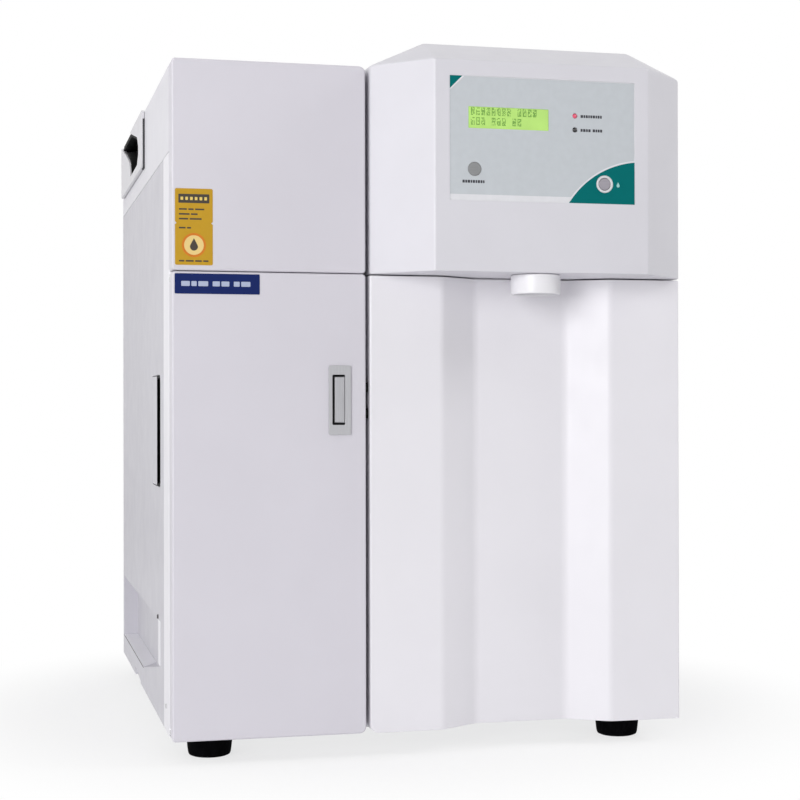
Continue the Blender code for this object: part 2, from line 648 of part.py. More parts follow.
def make_strike_clip(parent):
    """The spring clip in the seam, open to the front, which grips the bolt's nose."""
    back, front, slot_end = FRAME_FRONT - SEAT, 0.006, 0.017
    low, high, half = BOLT_HEIGHT - 0.014, BOLT_HEIGHT + 0.014, 0.0062
    outline = [(back, low), (back, high), (front, high), (front, BOLT_HEIGHT + half)]
    outline += [(slot_end, BOLT_HEIGHT + half), (slot_end, BOLT_HEIGHT - half)]
    outline += [(front, BOLT_HEIGHT - half), (front, low)]
    return piece("strike_clip", prism(outline, "X", *CLIP_SIDES), "black_plastic", parent)


def make_hinge(end, parent):
    """A bracket on the frame, inside the door pan, and the pin that it holds in the pan's flange."""
    lower = end == "lower"
    across, back = DOOR_PIVOT
    arm_radius, thick, behind = 0.0033, 0.0024, FRAME_FRONT - SEAT

    def level(height):
        """A height above the door's lower flange, or the same distance below its upper one."""
        return height if lower else SPLIT_LOW - height

    arm = [(across + arm_radius, behind)] + [(across - arm_radius, behind)]
    arm += arc(DOOR_PIVOT, arm_radius, 180, 360, 10)
    start, end_height = sorted((level(0.003), level(0.003 + thick)))
    bracket = piece(f"hinge_bracket_{end}", prism(arm, "Z", start, end_height), "galvanised_steel", parent)
    base = sorted((level(0.003), level(0.0072)))
    fuse(bracket, block((0.0005, 0.0216, base[0]), (0.014, behind, base[1])))
    hole = sorted((level(0.001), level(0.0095)))
    cut(bracket, prism(circle(DOOR_PIVOT, 0.0023, 20), "Z", hole[0], hole[1]))
    profile = [(0, 0.0003), (0.0020, 0.0003), (0.0020, 0.0057), (0.0027, 0.0057), (0.0027, 0.0067), (0, 0.0067)]
    pin_shape = turned([(radius, level(height)) for radius, height in profile], (across, back, 0), steps=16)
    pin = piece(f"hinge_pin_{end}", pin_shape, "galvanised_steel", parent, smooth=True)
    return bracket, pin


# Header controls and outlet


def make_overlay(parent):
    left, right, low, high = OVERLAY
    front, back = -0.0399, RECESS_FLOOR - SEAT
    outline = rounded(left + SEAT, right - SEAT, low + SEAT, high - SEAT, 0.0008, 2)
    plate = piece("display_overlay", prism(outline, "Y", front, back), "overlay_film", parent)
    half = (0.03255, 0.00865)
    window = rounded(LCD_CENTRE[0] - half[0], LCD_CENTRE[0] + half[0], LCD_CENTRE[1] - half[1],
                     LCD_CENTRE[1] + half[1], 0.0005, 1)
    holes = [prism(window, "Y", -0.05, 0)]
    holes += [prism(circle(MODE_BUTTON, 0.0057, 20), "Y", -0.05, 0)]
    holes += [prism(circle(DISPENSE_BUTTON, 0.0069, 24), "Y", -0.05, 0)]
    holes += [prism(circle(place, 0.0022, 12), "Y", -0.05, 0) for place in (LED_RUN, LED_TANK)]
    cut(plate, *holes)
    return plate


def lcd_block(half_width, half_height, front, back):
    across, up = LCD_CENTRE
    return block((across - half_width, front, up - half_height), (across + half_width, back, up + half_height))


def make_lcd(parent):
    """The character display: its board behind the hood's wall, the metal frame and the raised glass."""
    wall_back = HOOD_WALL - HOOD_REACH
    module = piece("lcd_module", lcd_block(0.040, 0.018, wall_back + SEAT, wall_back + 0.0019), "display_glass", parent)
    fuse(module, lcd_block(0.0360, 0.0135, -0.0381, wall_back + 0.001))
    fuse(module, lcd_block(0.0322, 0.0083, -0.0396, -0.0375))
    return module


def make_led(name, place, finish, parent):
    """A domed lens with a collar behind the hood's wall and its leads down to the board."""
    wall_back = HOOD_WALL - HOOD_REACH
    profile = [(0, -0.0404), (0.0010, -0.0402), (0.0017, -0.0396), (0.0019, -0.0388), (0.0019, wall_back + SEAT)]
    profile += [(0.0026, wall_back + SEAT), (0.0026, wall_back + 0.0013), (0.0009, wall_back + 0.0013)]
    profile += [(0.0009, BOARD_FRONT - SEAT), (0, BOARD_FRONT - SEAT)]
    return piece(name, turned(profile, (place[0], 0, place[1]), "Y", 12), finish, parent, smooth=True)



def make_button(name, place, radius, parent):
    """A push button whose collar holds it behind the hood's wall, with a stem down to its switch."""
    face, wall_back = -0.0404, HOOD_WALL - HOOD_REACH
    profile = [(0, face), (radius - 0.0008, face), (radius - 0.0002, face + 0.0003), (radius, face + 0.0009)]
    profile += [(radius, wall_back + SEAT), (radius + 0.0014, wall_back + SEAT)]
    profile += [(radius + 0.0014, wall_back + 0.0013), (0.0018, wall_back + 0.0013), (0.0018, -0.0329), (0, -0.0329)]
    axis = assembly(f"{name}_axis", (place[0], face, place[1]))
    shape = turned(profile, (place[0], 0, place[1]), "Y", 24)
    return piece(name, shape, "grey_plastic", axis, (place[0], face, place[1]), smooth=True)


def make_dispense_ring(parent):
    profile = [(0.0050, RECESS_FLOOR - SEAT), (0.0067, RECESS_FLOOR - SEAT), (0.0067, -0.0400), (0.0063, -0.0403)]
    profile += [(0.0054, -0.0403), (0.0050, -0.0400), (0.0050, RECESS_FLOOR - SEAT)]
    shape = turned(profile, (DISPENSE_BUTTON[0], 0, DISPENSE_BUTTON[1]), "Y", 24)
    return piece("dispense_ring", shape, "white_moulding", parent, smooth=True)


def make_control_board(parent):
    """The board behind the controls, on posts from the hood's wall, with a switch behind each button."""
    front, thick = BOARD_FRONT, 0.0016
    shape = block((0.214, front, 0.417), (0.352, front + thick, 0.492))
    board = piece("control_board", shape, "board_green", parent)
    wall_back = HOOD_WALL - HOOD_REACH
    posts = [(0.219, 0.423), (0.346, 0.421), (0.346, 0.487), (0.300, 0.446)]
    for across, up in posts:
        fuse(board, prism(circle((across, up), 0.003, 10), "Y", wall_back + SEAT, front + thick / 2))
    for across, up in (MODE_BUTTON, DISPENSE_BUTTON):
        fuse(board, block((across - 0.003, -0.0317, up - 0.003), (across + 0.003, front + thick / 2, up + 0.003)))
    chips = [(0.250, 0.440, 0.012), (0.280, 0.475, 0.009), (0.320, 0.465, 0.007)]
    for across, up, half in chips:
        fuse(board, block((across - half, front + thick / 2, up - half), (across + half, front + 0.004, up + half)))
    return board


def make_outlet(parent):
    """The solenoid valve in the header, the outlet tube below it and the round shroud about the tube."""
    across, back = NOZZLE
    floor = SPLIT_LOW + HOOD_WALL + SEAT
    valve_shape = block((across - 0.016, back - 0.014, floor), (across + 0.016, back + 0.016, floor + 0.026))
    valve = piece("dispense_valve", valve_shape, "black_plastic", parent)
    coil = [(0, floor + 0.020), (0.013, floor + 0.020), (0.013, floor + 0.048), (0.004, floor + 0.048)]
    coil += [(0.004, floor + 0.052), (0, floor + 0.052)]
    inlet = turned([(0, -0.005), (0.005, -0.005), (0.005, 0.004), (0, 0.004)], (across, back + 0.016, 0.372), "Y", 12)
    fuse(valve, turned(coil, (across, back + 0.001, 0), steps=20), inlet)

    top, bottom = SPLIT_LOW - SEAT, 0.3404
    outer, wall, cap, bore = 0.0195, 0.0022, 0.0024, 0.0054
    cup = [(bore, top), (outer - 0.0004, top), (outer, top - 0.0004), (outer, bottom + 0.0015)]
    cup += [(outer - 0.0006, bottom), (outer - wall, bottom), (outer - wall, top - cap), (bore, top - cap)]
    cup += [(bore, top)]
    shroud = piece("nozzle_shroud", turned(cup, (across, back, 0), steps=32), "white_moulding", parent, smooth=True)

    collar, end, lumen = top - cap - SEAT, 0.3436, 0.0032
    tip = [(0, 0.356), (lumen, 0.356), (lumen, end), (0.0044, end), (0.0050, end + 0.0006), (0.0050, collar - 0.0022)]
    tip += [(0.0080, collar - 0.0022), (0.0080, collar), (0.0050, collar), (0.0050, floor - SEAT), (0, floor - SEAT)]
    outlet = piece("nozzle_tip", turned(tip, (across, back, 0), steps=20), "grey_plastic", parent, smooth=True)
    return valve, shroud, outlet


# Filters, pumps and reservoir


def housing_places():
    return [(across, back) for across in (HOUSING_LEFT, HOUSING_RIGHT) for back in (FILTER_ROW, VESSEL_ROW)]


def make_cartridge_bracket(parent):
    """A folded angle on the partition, with a hole for each filter head."""
    right, left, thick = PARTITION_LEFT - SEAT, 0.016, SHEET
    outline = [(left, BRACKET_TOP - thick), (right - thick, BRACKET_TOP - thick), (right - thick, 0.286)]
    outline += [(right, 0.286), (right, BRACKET_TOP), (left, BRACKET_TOP)]
    bracket = piece("cartridge_bracket", prism(outline, "Y", 0.052, 0.216), "galvanised_steel", parent)
    cut(bracket, *[prism(circle(place, 0.0152, 20), "Z", 0.31, 0.34) for place in housing_places()])
    return bracket


def make_housing(name, place, bottom, radius, finish, parent):
    """A filter housing hung in the bracket: domed sump, ribbed cap, boss, nut and port."""
    under, over = BRACKET_TOP - SHEET - SEAT, BRACKET_TOP + SEAT
    profile = [(0, bottom), (radius * 0.55, bottom + 0.002), (radius * 0.85, bottom + 0.010)]
    profile += [(radius, bottom + 0.024), (radius, 0.288), (0.0320, 0.290), (0.0320, 0.296), (0.0308, 0.298)]
    profile += [(0.0308, 0.306), (0.0320, 0.308), (0.0320, 0.315), (0.0290, 0.318), (0.0290, under)]
    profile += [(0.0147, under), (0.0147, over), (0.0195, over), (0.0195, over + 0.0057), (0.0050, over + 0.0057)]
    profile += [(0.0050, PORT_TOP), (0, PORT_TOP)]
    return piece(name, turned(profile, (*place, 0), steps=20), finish, parent, smooth=True)



def make_pump(name, place, axis_height, motor_radius, motor_length, parent, base_half):
    """A pump head on the front of a motor, on a foot plate that stands on the tray."""
    across, back = place
    floor = SHEET + SEAT
    head_length = 0.036
    profile = [(0, 0), (motor_radius + 0.001, 0), (motor_radius + 0.003, 0.003)]
    profile += [(motor_radius + 0.003, head_length - 0.003), (motor_radius + 0.001, head_length)]
    profile += [(motor_radius, head_length), (motor_radius, head_length + motor_length)]
    profile += [(motor_radius - 0.005, head_length + motor_length + 0.006), (0, head_length + motor_length + 0.006)]
    pump = piece(name, turned(profile, (across, back, axis_height), "Y", 24), "motor_enamel", parent, smooth=True)
    end = back + head_length + motor_length
    fuse(pump, block((across - base_half, back + 0.004, floor), (across + base_half, end, floor + 0.004)))
    fuse(pump, block((across - 0.012, back + 0.010, floor + 0.002), (across + 0.012, end - 0.006, axis_height)))
    return pump


def loft(levels):
    """A solid through closed outlines of equal length, each at its own height."""
    bm = bmesh.new()
    rims = [[bm.verts.new((*point, height)) for point in outline] for outline, height in levels]
    count = len(rims[0])
    for below, above in zip(rims, rims[1:]):
        for i in range(count):
            bm.faces.new((below[i], below[(i + 1) % count], above[(i + 1) % count], above[i]))
    bm.faces.new(rims[0])
    bm.faces.new(rims[-1])
    return bm


def make_reservoir(parent):
    """The moulded reservoir, with stiffening grooves round it, and its screw lid."""
    left, right, front, back, low, high = 0.160, 0.392, 0.112, 0.460, SHEET + SEAT, 0.300
    groove, slope, radius, ease = 0.008, 0.003, 0.018, 0.003
    full = rounded(left, right, front, back, radius, 3)
    waist = inset(full, 0.004)
    levels = [(inset(full, ease), low), (full, low + ease)]
    for height in (0.100, 0.190):
        levels += [(full, height), (waist, height + slope), (waist, height + groove), (full, height + groove + slope)]
    levels += [(full, high - ease), (inset(full, ease), high)]
    tank = piece("reservoir_tank", loft(levels), "natural_polyethylene", parent)
    inlet_radius, inlet_top = 0.005, 0.316
    fuse(tank, prism(circle(TANK_INLET, inlet_radius, 12), "Z", high - 0.004, inlet_top))
    lid_profile = [(0, high + SEAT), (0.050, high + SEAT), (0.050, high + 0.014), (0.047, high + 0.017)]
    lid_profile += [(0.020, high + 0.017), (0.018, high + 0.022), (0, high + 0.022)]
    lid = piece("tank_lid", turned(lid_profile, ((left + right) / 2, (front + back) / 2, 0), steps=28),
                "blue_tube", parent, smooth=True)
    return tank, lid


def make_power_supply(parent):
    low = SHELF_LOW + SHEET + SEAT
    shape = block((0.024, 0.130, low), (0.126, 0.300, low + 0.046))
    supply = piece("power_supply", shape, "supply_case", parent)
    slots = []
    for row in range(8):
        front = 0.150 + row * 0.017
        slots.append(block((0.045, front, low + 0.043), (0.105, front + 0.008, low + 0.06)))
    cut(supply, *slots)
    return supply


def make_tube(name, points, parent):
    """A push-fit tube along a smooth curve through hand placed points."""
    radius, per_span = 0.0032, 3
    places = [CORNER + Vector(point) for point in points]
    guide = [places[0] * 2 - places[1], *places, places[-1] * 2 - places[-2]]
    smooth = []
    for i in range(1, len(guide) - 2):
        for step in range(per_span):
            smooth.append(spline_point(guide[i - 1 : i + 3], step / per_span))
    smooth.append(places[-1])
    curve = bpy.data.curves.new(name, "CURVE")
    curve.dimensions = "3D"
    curve.bevel_depth = radius
    curve.bevel_resolution = 2
    curve.use_fill_caps = True
    spline = curve.splines.new("POLY")
    spline.points.add(len(smooth) - 1)
    for point, place in zip(spline.points, smooth):
        point.co = (*place, 1)
    obj = bpy.data.objects.new(name, curve)
    curve.materials.append(finish_of("blue_tube"))
    obj.parent = parent
    bpy.context.scene.collection.objects.link(obj)
    return obj


def spline_point(four, t):
    """A point on the smooth curve between the middle two of four points."""
    a, b, c, d = four
    return 0.5 * (2 * b + (c - a) * t + (2 * a - 5 * b + 4 * c - d) * t**2 + (3 * b - a - 3 * c + d) * t**3)


def make_tubes(parent):
    start = PORT_TOP + 2 * SEAT
    level = FITTING_HEIGHT
    rear = REAR_FRONT - FITTING_INSIDE - SEAT
    feed = [(FITTINGS[0], rear, level), (FITTINGS[0], rear - 0.03, level), (FITTINGS[0], 0.33, level + 0.001)]
    feed += [(FITTINGS[0], 0.20, level + 0.001), (FITTINGS[0] - 0.003, 0.130, level + 0.001)]
    feed += [(0.070, 0.101, level + 0.001), (HOUSING_LEFT + 0.006, 0.0935, level)]
    feed += [(HOUSING_LEFT, FILTER_ROW, start + 0.004), (HOUSING_LEFT, FILTER_ROW, start)]
    across, back = TANK_INLET
    hole = 0.348
    permeate = [(HOUSING_RIGHT, VESSEL_ROW, start), (HOUSING_RIGHT, VESSEL_ROW, start + 0.005)]
    permeate += [(HOUSING_RIGHT + 0.005, VESSEL_ROW, hole - 0.001), (HOUSING_RIGHT + 0.014, VESSEL_ROW, hole)]
    permeate += [(PARTITION_LEFT, VESSEL_ROW, hole), (PARTITION_LEFT + 0.018, VESSEL_ROW + 0.002, hole)]
    permeate += [(across - 0.006, back - 0.010, hole - 0.010), (across, back, 0.330), (across, back, 0.3163)]
    pump_across, pump_back = DELIVERY_PUMP
    up = pump_back + 0.018
    outlet, valve_back = NOZZLE[0], NOZZLE[1] + 0.020 + SEAT
    delivery = [(pump_across, up, 0.0893), (pump_across, up, 0.110), (pump_across, up + 0.002, 0.200)]
    delivery += [(pump_across - 0.004, up + 0.004, 0.300), (pump_across - 0.020, up, 0.352)]
    delivery += [(outlet + 0.018, 0.060, 0.376), (outlet + 0.002, 0.040, 0.380), (outlet, 0.024, 0.379)]
    delivery += [(outlet, 0.010, 0.3725), (outlet, 0.006, 0.372), (outlet, valve_back, 0.372)]
    make_tube("tube_feed", feed, parent)
    make_tube("tube_permeate", permeate, parent)
    make_tube("tube_delivery", delivery, parent)



# Rear fittings


def make_fitting(name, across, parent):
    """A bulkhead fitting: hexagon nut outside, collar and stub, locknut inside."""
    outside = BODY_DEPTH + SEAT
    inside = REAR_FRONT - SEAT
    profile = [(0, inside - FITTING_INSIDE + SEAT), (0.0050, inside - FITTING_INSIDE + SEAT), (0.0050, inside - 0.005)]
    profile += [(0.0095, inside - 0.005), (0.0095, inside), (0.0062, inside), (0.0062, outside), (0.0080, outside)]
    profile += [(0.0080, outside + 0.006), (0.0070, outside + 0.007), (0.0070, BODY_DEPTH + REAR_REACH - 0.004)]
    profile += [(0.0058, BODY_DEPTH + REAR_REACH), (0.0034, BODY_DEPTH + REAR_REACH)]
    profile += [(0.0034, BODY_DEPTH + 0.004), (0, BODY_DEPTH + 0.004)]
    fitting = piece(name, turned(profile, (across, 0, FITTING_HEIGHT), "Y", 16), "white_moulding", parent, smooth=True)
    hexagon = circle((across, FITTING_HEIGHT), 0.0105, 6)
    fuse(fitting, prism(hexagon, "Y", outside, outside + 0.005))
    return fitting


def make_power_inlet(parent):
    outside = BODY_DEPTH + SEAT
    flange = prism(rounded(0.041, 0.079, 0.4265, 0.4535, 0.003, 3), "Y", outside, outside + 0.0022)
    inlet = piece("power_inlet", flange, "black_plastic", parent)
    fuse(inlet, prism(rounded(0.0460, 0.0740, 0.4290, 0.4510, 0.002, 2), "Y", 0.452, outside + 0.001))
    socket = [(0.0485, 0.4325), (0.0715, 0.4325), (0.0715, 0.4440), (0.0675, 0.4485), (0.0525, 0.4485), (0.0485, 0.4440)]
    cut(inlet, prism(socket, "Y", 0.462, outside + 0.01))
    for across, up in ((0.0530, 0.4385), (0.0600, 0.4430), (0.0670, 0.4385)):
        fuse(inlet, block((across - 0.001, 0.458, up - 0.002), (across + 0.001, 0.476, up + 0.002)))
    return inlet



def make_power_switch(parent):
    """The switch frame in the rear panel and its rocker, which rests tilted to the off side."""
    across, back, up = ROCKER
    outside = BODY_DEPTH + SEAT
    flange = prism(rounded(across - 0.0125, across + 0.0125, up - 0.0165, up + 0.0165, 0.001, 2), "Y", outside,
                   outside + 0.0018)
    frame = piece("switch_frame", flange, "black_plastic", parent)
    fuse(frame, block((across - 0.010, 0.458, up - 0.014), (across + 0.010, outside + 0.001, up + 0.014)))
    cut(frame, block((across - 0.008, back - 0.008, up - 0.0115), (across + 0.008, outside + 0.01, up + 0.0115)))
    cut(frame, prism(circle((back, up), 0.0015, 12), "X", across - 0.0091, across + 0.0091))

    face = [(-0.004, -0.006), (0.0035, -0.0102), (0.0062, -0.0098), (0.0045, 0), (0.0062, 0.0098)]
    face += [(0.0035, 0.0102), (-0.004, 0.006)]
    outline = [(back + out, up + height) for out, height in face]
    axis = assembly("rocker_axis", ROCKER)
    rocker = piece("power_rocker", prism(outline, "X", across - 0.0075, across + 0.0075), "black_plastic", axis, ROCKER)
    fuse(rocker, prism(circle((back, up), 0.0012, 10), "X", across - 0.0088, across + 0.0088))
    rocker.rotation_euler.x = -ROCKER_TILT
    return frame, rocker



def main():
    clear_scene()
    cabinet = assembly("cabinet")
    make_base_tray(cabinet)
    make_front_frame(cabinet)
    make_top_cover(cabinet)
    make_rear_panel(cabinet)
    make_partition(cabinet)
    make_shelf(cabinet)
    for side, mirrored in (("left", False), ("right", True)):
        make_side_panel(f"{side}_side_panel", cabinet, mirrored)
        make_side_pull(f"side_pull_{side}", cabinet, mirrored)
        make_handle(side, cabinet, mirrored)
    for row, back in zip(("front", "rear"), FOOT_BACK):
        make_foot(f"foot_{row}_left", FOOT_ACROSS[0], back, cabinet)
        make_foot(f"foot_{row}_right", FOOT_ACROSS[1], back, cabinet)
    make_upper_front_panel(cabinet)
    make_lower_front_cover(cabinet)
    make_header_hood(cabinet)

    door_axis = assembly("door_axis", (*DOOR_PIVOT, 0))
    make_door_panel(door_axis)
    make_door_liner(door_axis)
    make_latch(door_axis)
    make_strike_clip(cabinet)
    for end in ("lower", "upper"):
        make_hinge(end, cabinet)

    header = assembly("header")
    make_overlay(header)
    make_lcd(header)
    make_led("led_run", LED_RUN, "red_lens", header)
    make_led("led_tank", LED_TANK, "dark_lens", header)
    make_button("mode_button", MODE_BUTTON, 0.0053, header)
    make_button("dispense_button", DISPENSE_BUTTON, 0.0047, header)
    make_dispense_ring(header)
    make_control_board(header)
    make_outlet(header)

    water = assembly("water_path")
    make_cartridge_bracket(water)
    make_housing("sediment_cartridge", (HOUSING_LEFT, FILTER_ROW), 0.062, 0.031, "clear_housing", water)
    make_housing("carbon_cartridge", (HOUSING_RIGHT, FILTER_ROW), 0.062, 0.031, "white_moulding", water)
    make_housing("membrane_vessel_left", (HOUSING_LEFT, VESSEL_ROW), 0.024, 0.030, "white_moulding", water)
    make_housing("membrane_vessel_right", (HOUSING_RIGHT, VESSEL_ROW), 0.024, 0.030, "white_moulding", water)
    make_pump("booster_pump", (0.078, 0.260), 0.052, 0.036, 0.110, water, 0.034)
    make_pump("delivery_pump", DELIVERY_PUMP, 0.040, 0.024, 0.020, water, 0.022)
    make_reservoir(water)
    make_tubes(water)

    rear = assembly("rear_fittings")
    make_fitting("feed_fitting", FITTINGS[0], rear)
    make_fitting("drain_fitting", FITTINGS[1], rear)
    make_power_inlet(rear)
    make_power_switch(rear)
    make_power_supply(rear)


main()
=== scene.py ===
"""Finishes, printed panel, labels, fasteners and studio for a laboratory water purifier."""

import json
import random
from itertools import product
from math import acos, asin, cos, degrees, pi, radians, sin

import bmesh
import bpy
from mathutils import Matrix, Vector
from mathutils.geometry import tessellate_polygon

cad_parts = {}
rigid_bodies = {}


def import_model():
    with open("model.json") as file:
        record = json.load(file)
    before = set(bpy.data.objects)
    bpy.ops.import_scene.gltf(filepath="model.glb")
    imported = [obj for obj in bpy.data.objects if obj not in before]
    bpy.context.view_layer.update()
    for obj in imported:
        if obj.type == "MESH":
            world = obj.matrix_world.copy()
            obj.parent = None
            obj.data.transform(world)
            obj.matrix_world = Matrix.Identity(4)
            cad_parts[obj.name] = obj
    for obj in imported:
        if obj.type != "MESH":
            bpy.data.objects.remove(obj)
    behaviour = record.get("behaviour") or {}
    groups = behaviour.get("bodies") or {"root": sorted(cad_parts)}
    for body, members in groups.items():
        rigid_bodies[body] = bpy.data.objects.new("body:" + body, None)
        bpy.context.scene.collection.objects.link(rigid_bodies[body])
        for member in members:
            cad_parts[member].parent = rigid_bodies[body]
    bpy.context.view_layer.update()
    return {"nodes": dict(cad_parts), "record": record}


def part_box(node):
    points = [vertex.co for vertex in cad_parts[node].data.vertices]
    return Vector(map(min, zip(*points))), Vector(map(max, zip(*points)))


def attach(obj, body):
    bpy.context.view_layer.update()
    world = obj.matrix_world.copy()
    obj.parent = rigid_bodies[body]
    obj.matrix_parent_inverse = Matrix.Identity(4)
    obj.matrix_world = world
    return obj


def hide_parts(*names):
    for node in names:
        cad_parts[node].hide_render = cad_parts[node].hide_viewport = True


for startup in list(bpy.data.objects):
    bpy.data.objects.remove(startup, do_unlink=True)
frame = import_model()

bl_info = {
    "name": "Laboratory water purifier",
    "version": (1, 0, 0),
    "blender": (4, 5, 0),
    "location": "View3D > Sidebar > Purifier",
    "description": "Finishes the packed cabinet of a laboratory water purifier, piece by piece",
    "category": "Object",
}

MM = 0.001
WIDTH, DEPTH = 410.0, 480.0
BODY_OF = {node: body for body, nodes in frame["record"]["behaviour"]["bodies"].items() for node in nodes}

# The cabinet's lower left front corner, which is also the door's
CORNER = Vector(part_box("door_panel")[0])
# The two axes of the plane across each axis, and the axis itself
PLANES = {"X": (1, 2, 0), "Y": (0, 2, 1), "Z": (0, 1, 2)}

# Points this near are one, faces this flat are one, and edges bent by more than this stay sharp
WELD, FLAT, CREASE = 2e-6, radians(0.3), radians(40)
# Radius of an eased edge in metres: on most pieces, on small ones, on thin plates and on none
EASED, EASED_SMALL, EASED_THIN, PLAIN = 0.0003, 0.0002, 0.0001, 0.0
BEVEL_STEPS = 2

# Level of the control panel's face, and thickness of one layer of print
PANEL_FACE, PRINT = -39.9, 0.06


# Settings


def colour_setting(name, description, default):
    return bpy.props.FloatVectorProperty(
        name=name, description=description, default=default, subtype="COLOR", size=3, min=0, max=1
    )


def length_setting(name, description, default):
    return bpy.props.FloatProperty(name=name, description=description, default=default, unit="LENGTH", precision=5)


class PaintSettings(bpy.types.PropertyGroup):
    column: colour_setting("Column paint", "Powder coat of the door and the panel above it", (0.65, 0.63, 0.685))
    module: colour_setting("Module paint", "Powder coat of the cover about the dispensing bay", (0.80, 0.785, 0.825))
    cabinet: colour_setting("Cabinet paint", "Powder coat of the top and the rear panel", (0.73, 0.72, 0.765))
    frame: colour_setting("Frame paint", "Powder coat of the front frame with its corner bands", (0.82, 0.81, 0.85))
    # The side paint is darker than the cabinet and frame paint as painted shade: it stands in for the weaker light
    # on the sides.
    sides: colour_setting("Side paint", "Powder coat of the lift-off side panels", (0.58, 0.57, 0.615))
    hood: colour_setting("Header moulding", "Colour of the moulded header", (0.68, 0.67, 0.715))
    shroud: colour_setting("Shroud moulding", "Colour of the outlet shroud", (0.84, 0.83, 0.86))
    trim: colour_setting("Light trim", "Colour of the handles' frames", (0.68, 0.67, 0.70))
    grain: length_setting("Grain size", "Width of one dimple of the powder coat", 0.0011)
    edge: length_setting("Eased edge", "Radius left on a folded edge of painted sheet", EASED)


class PrintSettings(bpy.types.PropertyGroup):
    field: colour_setting("Field", "Printed field of the control panel", (0.55, 0.58, 0.61))
    border: colour_setting("Border", "Unprinted border of the control panel", (0.74, 0.74, 0.77))
    accent: colour_setting("Accent", "Corner and bow of the control panel", (0.0, 0.145, 0.145))
    ink: colour_setting("Ink", "Dashes beside lamps and buttons", (0.05, 0.05, 0.06))
    display: colour_setting("Display", "Lit field of the character display", (0.44, 0.72, 0.16))
    cell: colour_setting("Display cell", "Dark cells of the character display", (0.15, 0.34, 0.06))
    plate: colour_setting("Column plate", "Plate at the top of the door", (0.008, 0.019, 0.112))
    sticker: colour_setting("Sticker", "Ground of the sticker above the door", (0.52, 0.30, 0.018))


class StageSettings(bpy.types.PropertyGroup):
    key: bpy.props.FloatProperty(name="Key light", description="Power of the light at the front left", default=52)
    side: bpy.props.FloatProperty(name="Side light", description="Power of the light at the left", default=6)
    fill: bpy.props.FloatProperty(name="Fill light", description="Power of the light at the right", default=20)
    top: bpy.props.FloatProperty(name="Top light", description="Power of the light overhead on the left", default=8)
    ambient: bpy.props.FloatProperty(name="Ambient", description="Strength of the room's light", default=0.38)


# Shapes, in millimetres across, back and up from the cabinet's lower left front corner


def rounded(left, right, low, high, radius, steps=4):
    """A rectangle with rounded corners, counter-clockwise."""
    outline = []
    corners = ((right - radius, low + radius, 270), (right - radius, high - radius, 0),
               (left + radius, high - radius, 90), (left + radius, low + radius, 180))
    for across, up, start in corners:
        for i in range(steps + 1):
            angle = radians(start + 90 * i / steps)
            outline.append((across + radius * cos(angle), up + radius * sin(angle)))
    return outline


def rectangle(left, right, low, high):
    return [(left, low), (right, low), (right, high), (left, high)]


def circle(centre, radius, steps=32):
    return [(centre[0] + radius * cos(2 * pi * i / steps), centre[1] + radius * sin(2 * pi * i / steps))
            for i in range(steps)]


def arc(centre, radius, start, end, steps):
    angles = [radians(start + (end - start) * i / steps) for i in range(steps + 1)]
    return [(centre[0] + radius * cos(angle), centre[1] + radius * sin(angle)) for angle in angles]


def drop(centre, radius, tip, steps):
    """A drop of water: round below, with its tip at that height."""
    return arc(centre, radius, 150, 390, steps) + [(centre[0], tip)]


def placed(axis, pair, level):
    """A point given in a plane and along its axis, in metres in the scene."""
    first, second, third = PLANES[axis]
    place = Vector((0, 0, 0))
    place[first], place[second], place[third] = pair[0], pair[1], level
    return CORNER + place * MM


def slab(bm, axis, outline, low, high, holes=()):
    """Adds a closed plate with that outline and those holes, between two levels along the axis."""
    loops = [list(outline)] + [list(hole) for hole in holes]
    corners = tessellate_polygon([[Vector((a, b, 0)) for a, b in loop] for loop in loops])
    pairs = [pair for loop in loops for pair in loop]
    near = [bm.verts.new(placed(axis, pair, low)) for pair in pairs]
    far = [bm.verts.new(placed(axis, pair, high)) for pair in pairs]
    made = []
    for a, b, c in corners:
        made.append(bm.faces.new((near[a], near[b], near[c])))
        made.append(bm.faces.new((far[c], far[b], far[a])))
    start = 0
    for loop in loops:
        for i in range(len(loop)):
            a, b = start + i, start + (i + 1) % len(loop)
            made.append(bm.faces.new((near[a], near[b], far[b], far[a])))
        start += len(loop)
    bmesh.ops.recalc_face_normals(bm, faces=made)
    return bm


def row_of_bars(bm, start, lengths, half, space, gap, bend, levels):
    """Adds a row of bars from a point on its middle line. A length of nought is a gap between words."""
    across, up = start
    for length in lengths:
        if length:
            slab(bm, "Y", rounded(across, across + length, up - half, up + half, bend, 2), *levels)
        across += (length or gap) + space


def outwards(side, low, high):
    """Two levels across, given as distances outwards from the left or the right side's face."""
    return (-high, -low) if side == "left" else (WIDTH + low, WIDTH + high)


def piece(name, bm, material, body, nodes=(), edge=PLAIN):
    """Makes a piece of a shape, eases its edges and hands it to the body it moves with."""
    bmesh.ops.dissolve_limit(bm, angle_limit=FLAT, verts=bm.verts, edges=bm.edges)
    for face in bm.faces:
        face.smooth = True
    for sharp in bm.edges:
        sharp.smooth = len(sharp.link_faces) == 2 and sharp.calc_face_angle(pi) < CREASE
    mesh = bpy.data.meshes.new(name)
    bm.to_mesh(mesh)
    bm.free()
    mesh.materials.append(material)
    obj = bpy.data.objects.new(name, mesh)
    bpy.context.scene.collection.objects.link(obj)
    if edge > 0:
        bevel = obj.modifiers.new("Eased edges", "BEVEL")
        bevel.limit_method = "ANGLE"
        bevel.angle_limit = CREASE
        bevel.width = edge
        bevel.segments = BEVEL_STEPS
        bevel.use_clamp_overlap = False
    normals = obj.modifiers.new("Even shading", "WEIGHTED_NORMAL")
    normals.keep_sharp = True
    if nodes:
        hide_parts(*nodes)
    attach(obj, body)


